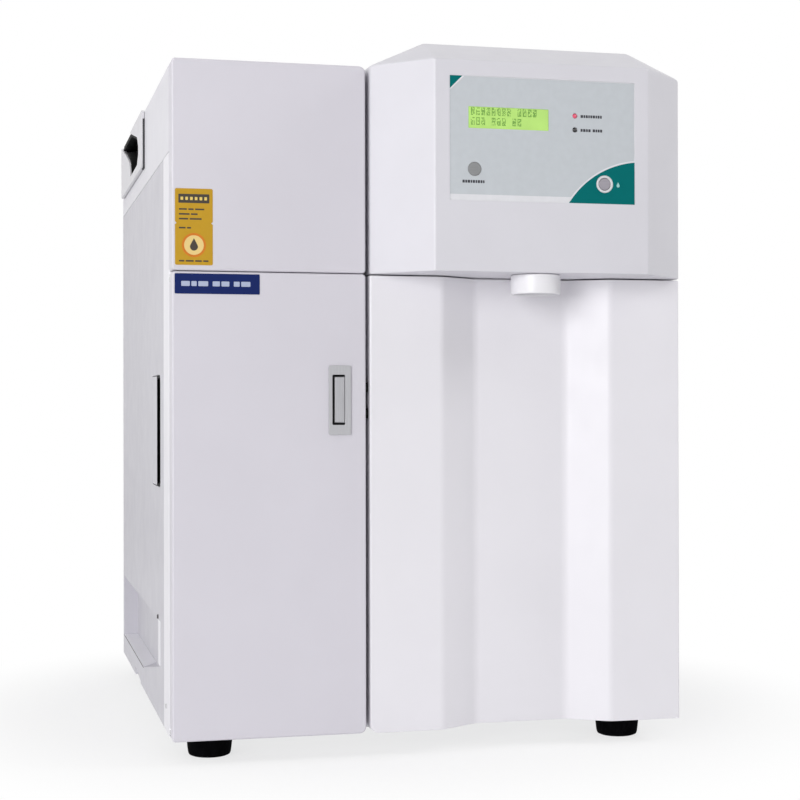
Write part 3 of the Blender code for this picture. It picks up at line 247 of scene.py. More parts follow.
def finished(node, material, edge=EASED):
    """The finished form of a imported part: welded, with whole flat faces and eased edges."""
    bm = bmesh.new()
    bm.from_mesh(frame["nodes"][node].data)
    bmesh.ops.remove_doubles(bm, verts=bm.verts, dist=WELD)
    piece(f"{node}_finished", bm, material, BODY_OF[node], (node,), edge)


# Finishes


class Finish:
    """Builds one procedural material from the object's own coordinates."""

    def __init__(self, name, colour, roughness, metallic=0.0, specular=0.5):
        self.material = bpy.data.materials.new(name)
        self.material.use_nodes = True
        self.nodes, self.links = self.material.node_tree.nodes, self.material.node_tree.links
        self.shader = self.nodes["Principled BSDF"]
        self.colour, self.roughness = tuple(colour), roughness
        self.shader.inputs["Base Color"].default_value = (*self.colour, 1)
        self.shader.inputs["Roughness"].default_value = roughness
        self.shader.inputs["Metallic"].default_value = metallic
        self.shader.inputs["Specular IOR Level"].default_value = specular
        self.coordinates = self.nodes.new("ShaderNodeTexCoord")

    def noise(self, size, detail=2.0, stretch=(1, 1, 1)):
        """Noise whose features are about that many metres wide."""
        texture = self.nodes.new("ShaderNodeTexNoise")
        texture.inputs["Scale"].default_value = 1
        texture.inputs["Detail"].default_value = detail
        mapping = self.nodes.new("ShaderNodeMapping")
        mapping.inputs["Scale"].default_value = [1 / (size * part) for part in stretch]
        self.links.new(self.coordinates.outputs["Object"], mapping.inputs["Vector"])
        self.links.new(mapping.outputs["Vector"], texture.inputs["Vector"])
        return texture.outputs["Fac"]

    def cells(self, size):
        """Flat patches, each with its own level, about that many metres wide."""
        texture = self.nodes.new("ShaderNodeTexVoronoi")
        texture.inputs["Scale"].default_value = 1 / size
        self.links.new(self.coordinates.outputs["Object"], texture.inputs["Vector"])
        split = self.nodes.new("ShaderNodeSeparateColor")
        self.links.new(texture.outputs["Color"], split.inputs["Color"])
        return split.outputs["Red"]

    def tint(self, source, spread, low=0.35, high=0.65):
        """Varies the colour by that share, darker to lighter, with the source."""
        ramp = self.nodes.new("ShaderNodeValToRGB")
        ends = ((low, 1 - spread), (high, 1 + spread))
        for stop, (position, factor) in zip(ramp.color_ramp.elements, ends):
            stop.position = position
            stop.color = (*[min(part * factor, 1) for part in self.colour], 1)
        self.links.new(source, ramp.inputs["Fac"])
        self.links.new(ramp.outputs["Color"], self.shader.inputs["Base Color"])

    def polish(self, source, spread, low=0.3, high=0.7):
        """Varies the roughness by that much, up and down, with the source."""
        level = self.nodes.new("ShaderNodeMapRange")
        level.inputs["From Min"].default_value = low
        level.inputs["From Max"].default_value = high
        level.inputs["To Min"].default_value = self.roughness - spread
        level.inputs["To Max"].default_value = self.roughness + spread
        self.links.new(source, level.inputs["Value"])
        self.links.new(level.outputs["Result"], self.shader.inputs["Roughness"])

    def relief(self, source, depth, strength=1.0):
        """Raises and sinks the surface by that many metres with the source."""
        bump = self.nodes.new("ShaderNodeBump")
        bump.inputs["Strength"].default_value = strength
        bump.inputs["Distance"].default_value = depth
        self.links.new(source, bump.inputs["Height"])
        self.links.new(bump.outputs["Normal"], self.shader.inputs["Normal"])
        return self

    def set(self, **sockets):
        """Sets the shader's other sockets, with an underscore for each space in a name."""
        for name, value in sockets.items():
            self.shader.inputs[name.replace("_", " ")].default_value = value
        return self


def powder_coat(name, colour, specular=0.5):
    finish = Finish(name, colour, roughness=0.42, specular=specular)
    grain = bpy.context.scene.purifier_paint.grain
    finish.tint(finish.noise(0.09, detail=3), spread=0.012)
    finish.polish(finish.noise(0.02), spread=0.05)
    return finish.relief(finish.noise(grain, detail=3), depth=grain * 0.03, strength=0.35).material


def moulded(name, colour):
    finish = Finish(name, colour, roughness=0.38)
    finish.tint(finish.noise(0.05, detail=3), spread=0.012)
    finish.polish(finish.noise(0.012), spread=0.04)
    return finish.relief(finish.noise(0.0006), depth=0.00001, strength=0.3).material


def textured_plastic(name, colour, roughness, specular=0.5):
    finish = Finish(name, colour, roughness, specular=specular)
    finish.tint(finish.noise(0.01, detail=3), spread=0.12)
    finish.polish(finish.noise(0.004), spread=0.08)
    return finish.relief(finish.noise(0.0005, detail=3), depth=0.00003, strength=0.5).material


def black_plastic(name):
    return textured_plastic(name, (0.004, 0.004, 0.0045), roughness=0.65, specular=0.10)


def galvanised(name, colour):
    finish = Finish(name, colour, roughness=0.38, metallic=1.0)
    finish.tint(finish.cells(0.009), spread=0.10, low=0.0, high=1.0)
    finish.polish(finish.cells(0.009), spread=0.07, low=0.0, high=1.0)
    return finish.relief(finish.noise(0.0012), depth=0.00002, strength=0.3).material


def brushed(name, colour, roughness, metallic, along=(1, 1, 60)):
    """Fine lines, stretched by those factors across, back and up."""
    finish = Finish(name, colour, roughness, metallic=metallic)
    lines = finish.noise(0.0003, stretch=along)
    finish.tint(lines, spread=0.06)
    finish.polish(finish.noise(0.0004, stretch=along), spread=0.06)
    return finish.relief(lines, depth=0.000008, strength=0.5).material


def printed(name, colour, roughness=0.4, specular=0.25):
    finish = Finish(name, colour, roughness, specular=specular)
    finish.tint(finish.noise(0.006), spread=0.015)
    finish.polish(finish.noise(0.003), spread=0.03)
    return finish.relief(finish.noise(0.00035), depth=0.000006, strength=0.35).material


def lens(name, colour, glow, strength):
    finish = Finish(name, colour, roughness=0.12)
    finish.tint(finish.noise(0.0012), spread=0.15)
    return finish.set(Emission_Color=(*glow, 1), Emission_Strength=strength, Coat_Weight=0.6).material


def lit_display(name, colour):
    finish = Finish(name, colour, roughness=0.22)
    finish.tint(finish.noise(0.02), spread=0.04)
    return finish.set(Emission_Color=(*colour, 1), Emission_Strength=0.12, Coat_Weight=0.3).material


def rubber(name):
    finish = Finish(name, (0.0025, 0.0025, 0.003), roughness=0.85, specular=0.02)
    finish.tint(finish.noise(0.006, detail=3), spread=0.25)
    finish.polish(finish.noise(0.003), spread=0.08)
    return finish.relief(finish.noise(0.0004, detail=3), depth=0.00004, strength=0.6).material


def solder_mask(name):
    """A board's mask, with paler lines for its tracks."""
    mask, patch, track = (0.012, 0.16, 0.06), (0.014, 0.18, 0.068), (0.03, 0.27, 0.11)
    finish = Finish(name, mask, roughness=0.35)
    tracks = finish.nodes.new("ShaderNodeTexBrick")
    for socket, value in (("Scale", 90), ("Mortar Size", 0.03), ("Color1", (*mask, 1)), ("Color2", (*patch, 1)),
                          ("Mortar", (*track, 1))):
        tracks.inputs[socket].default_value = value
    mapping = finish.nodes.new("ShaderNodeMapping")
    mapping.inputs["Rotation"].default_value = (radians(90), 0, 0)
    finish.links.new(finish.coordinates.outputs["Object"], mapping.inputs["Vector"])
    finish.links.new(mapping.outputs["Vector"], tracks.inputs["Vector"])
    finish.links.new(tracks.outputs["Color"], finish.shader.inputs["Base Color"])
    return finish.relief(tracks.outputs["Fac"], depth=0.00003, strength=0.5).material


def translucent(name, colour, clarity):
    finish = Finish(name, colour, roughness=0.28)
    finish.tint(finish.noise(0.03, detail=3), spread=0.05)
    finish.polish(finish.noise(0.01), spread=0.05)
    finish.relief(finish.noise(0.004), depth=0.00003, strength=0.3)
    return finish.set(Transmission_Weight=clarity, Subsurface_Weight=0.15, Subsurface_Scale=0.004).material


# Operators


class PieceOperator:
    """What every operator here shares: it makes its pieces, and an error stops the script."""

    bl_options = {"REGISTER", "UNDO"}

    def execute(self, context):
        self.make(context.scene.purifier_paint, context.scene.purifier_print)
        return {"FINISHED"}


class PURIFIER_OT_cabinet(PieceOperator, bpy.types.Operator):
    """Finishes the frame, the top, the sides, the rear panel and the sheet steel inside"""

    bl_idname = "purifier.cabinet"
    bl_label = "Cabinet"

    def make(self, paint, print_colours):
        coat = powder_coat("cabinet_powder_coat", paint.cabinet)
        for node in ("top_cover", "rear_panel"):
            finished(node, coat, paint.edge)
        finished("front_frame", powder_coat("frame_powder_coat", paint.frame), paint.edge)
        # The side panels' coat is darker than the cabinet's, as painted shade for the sides.
        side_coat = powder_coat("side_powder_coat", paint.sides, 0.25)
        for side in ("left", "right"):
            finished(f"{side}_side_panel", side_coat, paint.edge)
        zinc = galvanised("galvanised_sheet", (0.55, 0.56, 0.58))
        for node in ("base_tray", "centre_partition", "equipment_shelf"):
            finished(node, zinc, paint.edge)


class PURIFIER_OT_front_panels(PieceOperator, bpy.types.Operator):
    """Finishes the panel above the door and the cover about the dispensing bay"""

    bl_idname = "purifier.front_panels"
    bl_label = "Front panels"

    def make(self, paint, print_colours):
        finished("upper_front_panel", powder_coat("column_powder_coat", paint.column), paint.edge)
        finished("lower_front_cover", powder_coat("module_powder_coat", paint.module), paint.edge)


class PURIFIER_OT_header(PieceOperator, bpy.types.Operator):
    """Finishes the moulded header hood"""

    bl_idname = "purifier.header"
    bl_label = "Header hood"

    def make(self, paint, print_colours):
        finished("header_hood", moulded("header_moulding", paint.hood), PLAIN)


class PURIFIER_OT_door(PieceOperator, bpy.types.Operator):
    """Finishes the filter door, its liner and its hinges"""

    bl_idname = "purifier.door"
    bl_label = "Filter door"

    def make(self, paint, print_colours):
        finished("door_panel", powder_coat("door_powder_coat", paint.column), paint.edge)
        finished("door_liner", powder_coat("liner_powder_coat", paint.cabinet), paint.edge)
        bright = galvanised("bright_zinc", (0.62, 0.62, 0.63))
        for end in ("lower", "upper"):
            finished(f"hinge_bracket_{end}", bright, EASED_SMALL)
            finished(f"hinge_pin_{end}", bright, PLAIN)


class PURIFIER_OT_latch(PieceOperator, bpy.types.Operator):
    """Finishes the door's latch: housing, lever, bolt and the clip that grips the bolt"""

    bl_idname = "purifier.latch"
    bl_label = "Door latch"

    BEZEL, BEZEL_WINDOW, BEZEL_LEVELS = (120.2, 137.6, 231.35, 284.65), (123.0, 132.95, 238.9, 277.7), (-1.4, -0.95)
    # A dark strip round the lever's window, as painted shade in the gap about the lever
    GASKET, GASKET_LEVELS = (123.02, 133.3, 238.92, 277.68), (-0.85, -0.4)
    LEVER_LEFT, LEVER_LOW, LEVER_HIGH = 124.7, 240.5, 276.2
    BEND = 0.9

    def make(self, paint, print_colours):
        satin = brushed("latch_housing_satin", (0.47, 0.47, 0.49), 0.45, 0.2)
        finished("latch_housing", satin, EASED_SMALL)
        finished("latch_lever", brushed("latch_lever_satin", (0.44, 0.44, 0.46), 0.45, 0.15), EASED_SMALL)
        finished("latch_bolt", galvanised("bolt_zinc", (0.66, 0.65, 0.62)), EASED_SMALL)
        finished("strike_clip", black_plastic("clip_black"), EASED_SMALL)
        window = rounded(*self.BEZEL_WINDOW, self.BEND, 3)
        bezel = slab(bmesh.new(), "Y", rounded(*self.BEZEL, 0.6, 3), *self.BEZEL_LEVELS, [window])
        piece("latch_bezel", bezel, satin, "door", edge=EASED_THIN)
        self.make_gasket()

    def make_gasket(self):
        """A dark strip above, below and left of the lever: painted shade in the gap between the lever and its
        housing.
        """
        left, right, low, high = self.GASKET
        bottom = arc((left + self.BEND, low + self.BEND), self.BEND, 180, 270, 3)
        top = arc((left + self.BEND, high - self.BEND), self.BEND, 90, 180, 3)
        outline = [*bottom, (right, low), (right, self.LEVER_LOW), (self.LEVER_LEFT, self.LEVER_LOW),
                   (self.LEVER_LEFT, self.LEVER_HIGH), (right, self.LEVER_HIGH), (right, high), *top]
        gasket = slab(bmesh.new(), "Y", outline, *self.GASKET_LEVELS)
        piece("latch_gasket", gasket, black_plastic("latch_gasket_black"), "door")


class PURIFIER_OT_control_panel(PieceOperator, bpy.types.Operator):
    """Prints the control panel: field, accent corner and bow, dashes and the drop sign"""

    bl_idname = "purifier.control_panel"
    bl_label = "Control panel"

    LEFT, RIGHT, LOW, HIGH = 206.3, 356.4, 410.0, 505.3
    FRONT = PANEL_FACE - PRINT
    BOW_CENTRE, BOW_RADIUS, BOW_RIM = (363.47, 370.26), 73.31, 1.3
    BOW_STEPS = 24
    CORNER_SIZE = 10
    WINDOW = (221.2, 285.5, 465.4, 481.9)
    LAMPS, LAMP_HOLE = ((307, 477.8), (307, 467)), 2.05
    MODE_PLACE, MODE_HOLE = (226.1, 434.2), 5.4
    DISPENSE_PLACE, DISPENSE_HOLE = (331.3, 425.6), 6.95
    DASHES = (
        ((311.6, 477.6), (2.0, 1.3, 1.7, 1.2, 1.5, 1.9, 1.2, 1.6, 1.4)),
        ((311.6, 466.8), (1.6, 2.0, 1.4, 1.8, 0, 1.9, 1.3, 1.5, 1.7)),
        ((216.4, 424.6), (1.8, 1.4, 2.0, 1.2, 1.7, 1.3, 1.8, 1.5, 1.2)),
    )
    DROP_PLACE, DROP_RADIUS, DROP_TIP = (342.4, 424.6), 1.25, 427.3

    def make(self, paint, print_colours):
        film = printed("panel_film", print_colours.border, 0.34)
        finished("display_overlay", film, EASED_THIN)
        self.make_edging(film)
        self.make_field(print_colours.field)
        self.make_accent(print_colours.accent)

        dashes = bmesh.new()
        over_print = (self.FRONT - PRINT, self.FRONT)
        for start, lengths in self.DASHES:
            row_of_bars(dashes, start, lengths, 1.1, 0.45, 0.9, 0.25, over_print)
        piece("panel_dashes", dashes, printed("panel_dash_ink", print_colours.ink), "cabinet")
        sign = slab(bmesh.new(), "Y", drop(self.DROP_PLACE, self.DROP_RADIUS, self.DROP_TIP, 14), *over_print)
        piece("panel_drop", sign, printed("panel_drop_ink", (0.34, 0.62, 0.60)), "cabinet")

    def bow(self, radius, low, right):
        """Points on the bow from the level of its lower end to its right end."""
        start = degrees(asin((low - self.BOW_CENTRE[1]) / radius))
        end = degrees(acos((self.BOW_CENTRE[0] - right) / radius))
        return arc(self.BOW_CENTRE, radius, 180 - start, 180 - end, self.BOW_STEPS)

    def make_edging(self, film):
        """The film's rim, a little wider than the panel."""
        reach, inset = 0.42, 0.3
        rim = rounded(self.LEFT - reach, self.RIGHT + reach, self.LOW - reach, self.HIGH + reach, 0.9)
        middle = rounded(self.LEFT + inset, self.RIGHT - inset, self.LOW + inset, self.HIGH - inset, 0.3)
        edging = slab(bmesh.new(), "Y", rim, PANEL_FACE - PRINT / 2, PANEL_FACE + 0.1, [middle])
        piece("panel_edging", edging, film, "cabinet")

    def make_field(self, colour):
        """The printed field, open at the display, the lamps and the mode button."""
        left, right, low, high = self.LEFT + 0.4, self.RIGHT - 0.7, self.LOW + 4.8, self.HIGH - 0.6
        outline = [(left, low), *self.bow(self.BOW_RADIUS + self.BOW_RIM, low, right), (right, high), (217.9, high),
                   (left, 493.9)]
        holes = [rounded(*self.WINDOW, 0.5), circle(self.MODE_PLACE, self.MODE_HOLE)]
        holes += [circle(lamp, self.LAMP_HOLE) for lamp in self.LAMPS]
        field = slab(bmesh.new(), "Y", outline, self.FRONT, PANEL_FACE, holes)
        piece("panel_field", field, printed("panel_field_ink", colour), "cabinet")

    def make_accent(self, colour):
        """The coloured corner at the top left and the bow about the dispense button."""
        inset, size = 0.25, self.CORNER_SIZE
        left, right, low, high = self.LEFT + inset, self.RIGHT - inset, self.LOW + inset, self.HIGH - inset
        outline = [*self.bow(self.BOW_RADIUS, low, right), (right, low)]
        accent = slab(bmesh.new(), "Y", outline, self.FRONT, PANEL_FACE,
                      [circle(self.DISPENSE_PLACE, self.DISPENSE_HOLE)])
        slab(accent, "Y", [(left, high), (left, high - size), (left + size, high)], self.FRONT, PANEL_FACE)
        piece("panel_accent", accent, printed("panel_accent_ink", colour, 0.32, 0.08), "cabinet")


class PURIFIER_OT_display(PieceOperator, bpy.types.Operator):
    """Finishes the character display, with two rows of abstract cells, and the two lamps"""

    bl_idname = "purifier.display"
    bl_label = "Display and lamps"

    # For each row its top, its last place and its blank places
    ROWS = ((480.9, 12, (8,)), (473.4, 9, (3, 7)))
    ROW_LEFT, PLACE_PITCH = 223.6, 4.14
    DOTS_ACROSS, DOTS_UP = 5, 7
    DOT_PITCH_ACROSS, DOT_PITCH_UP = 0.588, 0.84
    DOT_HALF_ACROSS, DOT_HALF_UP = 0.24, 0.36
    DOT_LEVELS = (-39.66, -39.6)
    STROKE_SHARE, OTHER_SHARE = 0.78, 0.36

    def make(self, paint, print_colours):
        finished("lcd_module", lit_display("display_lit", print_colours.display), EASED_THIN)
        cells = bmesh.new()
        draw = random.Random(16)
        for top, last, blanks in self.ROWS:
            for place in range(last + 1):
                if place not in blanks:
                    self.add_cell(cells, draw, self.ROW_LEFT + self.PLACE_PITCH * place, top)
        piece("display_cells", cells, printed("display_cell_ink", print_colours.cell, 0.3), "cabinet")
        finished("led_run", lens("lamp_red", (0.70, 0.07, 0.14), (1.0, 0.14, 0.25), 0.12), PLAIN)
        finished("led_tank", lens("lamp_dark", (0.004, 0.004, 0.005), (0, 0, 0), 0.0), PLAIN)

    def add_cell(self, cells, draw, left, top):
        """Adds one cell's dark dots, drawn at random and denser where a sign's strokes would be."""
        wide, tall = self.DOT_HALF_ACROSS, self.DOT_HALF_UP
        for i in range(self.DOTS_ACROSS):
            for j in range(self.DOTS_UP):
                stroke = i in (0, 4) or j in (0, 3, 6)
                if draw.random() < (self.STROKE_SHARE if stroke else self.OTHER_SHARE):
                    x, y = left + i * self.DOT_PITCH_ACROSS, top - j * self.DOT_PITCH_UP
                    slab(cells, "Y", rectangle(x - wide, x + wide, y - tall, y + tall), *self.DOT_LEVELS)


class PURIFIER_OT_buttons(PieceOperator, bpy.types.Operator):
    """Finishes the mode button, the dispense button and its ring"""

    bl_idname = "purifier.buttons"
    bl_label = "Push buttons"

    def make(self, paint, print_colours):
        lines = (40, 1, 1)
        finished("mode_button", brushed("mode_satin", (0.25, 0.255, 0.26), 0.45, 0.1, lines), PLAIN)
        finished("dispense_button", brushed("dispense_satin", (0.34, 0.32, 0.36), 0.36, 0.2, lines), PLAIN)
        finished("dispense_ring", moulded("ring_light", (0.70, 0.70, 0.72)), EASED_THIN)


class PURIFIER_OT_outlet(PieceOperator, bpy.types.Operator):
    """Finishes the outlet shroud, the tip inside it and the valve above"""

    bl_idname = "purifier.outlet"
    bl_label = "Outlet"

    def make(self, paint, print_colours):
        finished("nozzle_shroud", moulded("shroud_moulding", paint.shroud))
        finished("nozzle_tip", textured_plastic("tip_grey", (0.42, 0.42, 0.43), 0.4), EASED_SMALL)
        finished("dispense_valve", black_plastic("valve_black"))


class PURIFIER_OT_labels(PieceOperator, bpy.types.Operator):
    """Adds the bare blue plate on the door and the yellow sticker above it"""

    bl_idname = "purifier.labels"
    bl_label = "Plates and stickers"

    PLATE, PLATE_LEVELS = (2.1, 66.8, 338.6, 354.0), (-0.35, 0.0)
    PLATE_BARS = (6.5, 4.0, 7.5, 0, 5.5, 6.0, 0, 4.5, 7.0)
    PLATE_BARS_START, PLATE_BAR_HALF, PLATE_BAR_LEVELS = (7.0, 346.3), 1.9, (-0.41, -0.35)

    STICKER, NOTCH_UP, NOTCH = (2.4, 31.0, 360.3, 418.2), 392.0, 1.2
    GROUND_LEVELS, INK_LEVELS, SQUARE_LEVELS = (-0.16, 0.0), (-0.21, -0.16), (-0.25, -0.21)
    RING_LEVELS, DISC_LEVELS, DROP_LEVELS = (-0.22, -0.16), (-0.27, -0.22), (-0.32, -0.27)
    BAND = (5.0, 28.4, 407.2, 414.0)
    SQUARES, SQUARE_LEFT, SQUARE_PITCH, SQUARE_SIZE, SQUARE_LOW, SQUARE_HIGH = 6, 6.6, 3.6, 2.0, 409.4, 411.8
    DASHES_LEFT, DASH_HALF, DASH_SPACE = 5.4, 0.6, 1.1
    DASHES = ((402.5, (6, 4, 7)), (398.8, (8, 5)), (395.2, (7, 9)), (388.4, (5, 3)), (363.4, (4, 6, 5, 4)))
    RING_CENTRE, RING_RADIUS, DISC_RADIUS = (16.7, 375.4), 9.2, 7.4
    DROP_PLACE, DROP_RADIUS, DROP_TIP = (16.7, 374.2), 3.0, 380.6

    def make(self, paint, print_colours):
        plate = slab(bmesh.new(), "Y", rounded(*self.PLATE, 0.6), *self.PLATE_LEVELS)
        piece("door_plate", plate, printed("plate_blue", print_colours.plate, 0.36, 0.12), "door",
              edge=EASED_THIN)
        bars = bmesh.new()
        row_of_bars(bars, self.PLATE_BARS_START, self.PLATE_BARS, self.PLATE_BAR_HALF, 1.2, 1.0, 0.5,
                    self.PLATE_BAR_LEVELS)
        piece("door_plate_bars", bars, printed("plate_pale", (0.42, 0.47, 0.62)), "door")
        self.make_sticker(print_colours)

    def layer(self, name, shape, material):
        piece(name, shape, material, "cabinet")

    def notched(self):
        """The sticker's outline, with a small notch in each side."""
        left, right, low, high = self.STICKER
        middle, notch = self.NOTCH_UP, self.NOTCH
        whole, outline = rounded(left, right, low, high, 1.2), []
        for a, b in zip(whole, whole[1:] + whole[:1]):
            outline.append(a)
            if a[1] < middle < b[1]:
                outline += [(right, middle - notch), (right - notch, middle), (right, middle + notch)]
            if a[1] > middle > b[1]:
                outline += [(left, middle + notch), (left + notch, middle), (left, middle - notch)]
        return outline

    def make_sticker(self, print_colours):
        ground = slab(bmesh.new(), "Y", self.notched(), *self.GROUND_LEVELS)
        self.layer("sticker_ground", ground, printed("sticker_yellow", print_colours.sticker, 0.42))
        dark = slab(bmesh.new(), "Y", rounded(*self.BAND, 0.5, 2), *self.INK_LEVELS)
        for up, lengths in self.DASHES:
            row_of_bars(dark, (self.DASHES_LEFT, up), lengths, self.DASH_HALF, self.DASH_SPACE, 0, 0.25,
                        self.INK_LEVELS)
        slab(dark, "Y", drop(self.DROP_PLACE, self.DROP_RADIUS, self.DROP_TIP, 16), *self.DROP_LEVELS)
        self.layer("sticker_dark", dark, printed("sticker_ink", (0.06, 0.05, 0.04)))
        squares = bmesh.new()
        for i in range(self.SQUARES):
            across = self.SQUARE_LEFT + self.SQUARE_PITCH * i
            outline = rounded(across, across + self.SQUARE_SIZE, self.SQUARE_LOW, self.SQUARE_HIGH, 0.3, 2)
            slab(squares, "Y", outline, *self.SQUARE_LEVELS)
        self.layer("sticker_squares", squares, printed("sticker_pale", (0.78, 0.58, 0.16)))
        ring = slab(bmesh.new(), "Y", circle(self.RING_CENTRE, self.RING_RADIUS, 40), *self.RING_LEVELS)
        self.layer("sticker_ring", ring, printed("sticker_orange", (0.62, 0.19, 0.02)))
        disc = slab(bmesh.new(), "Y", circle(self.RING_CENTRE, self.DISC_RADIUS, 40), *self.DISC_LEVELS)
        self.layer("sticker_disc", disc, printed("sticker_cream", (0.80, 0.60, 0.24)))


class PURIFIER_OT_handles(PieceOperator, bpy.types.Operator):
    """Finishes the carry handles' frames and cups, and the finger slots in the sides"""

    bl_idname = "purifier.handles"
    bl_label = "Handles and finger slots"

    # Outlines back and up, and reaches outwards from the side's face
    # A dark strip under the front of each handle frame, as painted shade in the gap between frame and side
    SEAL, SEAL_REACH = (227.0, 240.0, 464.6, 509.0), (-0.2, 1.7)
    SLOT_PLATE, SLOT_PLATE_BEND, SLOT_PLATE_REACH = (90.8, 160.2, 188.7, 278.3), 5.2, (-0.58, -0.2)
    SLOT_PLATE_FRONT = 121.8
    # The strip at the front of the niche, a painted highlight
    LIP, LIP_REACH = (91.5, 106.0, 44.0, 80.0), (-0.3, 0.35)
    # The dark line under the niche's floor, a painted shade
    JOINT, JOINT_REACH = (246, 469, 19.2, 19.9), (-0.1, 0.04)
    # The floor skin of the niche, painted light
    TREAD_EDGE, TREAD_DEEP, TREAD_LEVELS = 0.3, 13.7, (19.9, 20.25)
    TREAD_FRONT, TREAD_CORNER, TREAD_BACK = 247.0, 270.3, 469.6

    def make(self, paint, print_colours):
        light, black = moulded("handle_frame_light", paint.trim), black_plastic("cup_black")
        # The slot plates take the side paint, with its painted shade.
        plate_coat = powder_coat("slot_plate_coat", paint.sides, 0.25)
        # The niche's strip and floor skin take the lighter frame paint as painted light.
        niche_coat = powder_coat("niche_trim_coat", paint.frame)
        seal_grey = textured_plastic("handle_seal_grey", (0.05, 0.05, 0.055), 0.6, 0.2)
        for side in ("left", "right"):
            finished(f"handle_frame_{side}", light)
            # A dark grey strip under the front of each frame, showing at its edge: painted shade in the gap between
            # frame and side.
            seal = slab(bmesh.new(), "X", rounded(*self.SEAL, 1.4, 3), *outwards(side, *self.SEAL_REACH))
            piece(f"handle_seal_{side}", seal, seal_grey, "cabinet", edge=0.0004)
            finished(f"handle_cup_{side}", black)
            finished(f"side_pull_{side}", black, EASED_SMALL)
            self.make_slot_plate(side, plate_coat)
            self.make_niche_trim(side, niche_coat)

    def make_slot_plate(self, side, coat):
        """The light plate over the rear half of the finger slot."""
        outline = []
        for back, up in rounded(*self.SLOT_PLATE, self.SLOT_PLATE_BEND):
            pair = (max(back, self.SLOT_PLATE_FRONT), up)
            if pair not in outline:
                outline.append(pair)
        plate = slab(bmesh.new(), "X", outline, *outwards(side, *self.SLOT_PLATE_REACH))
        piece(f"slot_plate_{side}", plate, coat, "cabinet", edge=EASED_THIN)

    def make_niche_trim(self, side, coat):
        """A lighter strip at the front of the niche as a painted highlight, a lighter skin on its floor as painted
        light, and a dark line under that as painted shade.
        """
        # The strip at the niche's front is in the lighter frame paint as a painted highlight.
        lip = slab(bmesh.new(), "X", rounded(*self.LIP, 0.8, 3), *outwards(side, *self.LIP_REACH))
        piece(f"niche_lip_{side}", lip, coat, "cabinet", edge=EASED_SMALL)
        # The floor skin is in the lighter frame paint as painted light on the niche's floor.
        plan = [(self.TREAD_EDGE, self.TREAD_FRONT), (self.TREAD_DEEP, self.TREAD_CORNER),
                (self.TREAD_DEEP, self.TREAD_BACK), (self.TREAD_EDGE, self.TREAD_BACK)]
        if side == "right":
            plan = [(WIDTH - across, back) for across, back in plan]
        tread = slab(bmesh.new(), "Z", plan, *self.TREAD_LEVELS)
        piece(f"niche_tread_{side}", tread, coat, "cabinet", edge=EASED_THIN)
        # A dark line along the foot of the niche's floor as painted shade under the floor's edge.
        line = slab(bmesh.new(), "X", rectangle(*self.JOINT), *outwards(side, *self.JOINT_REACH))
        piece(f"niche_joint_{side}", line, black_plastic(f"niche_joint_dark_{side}"), "cabinet")


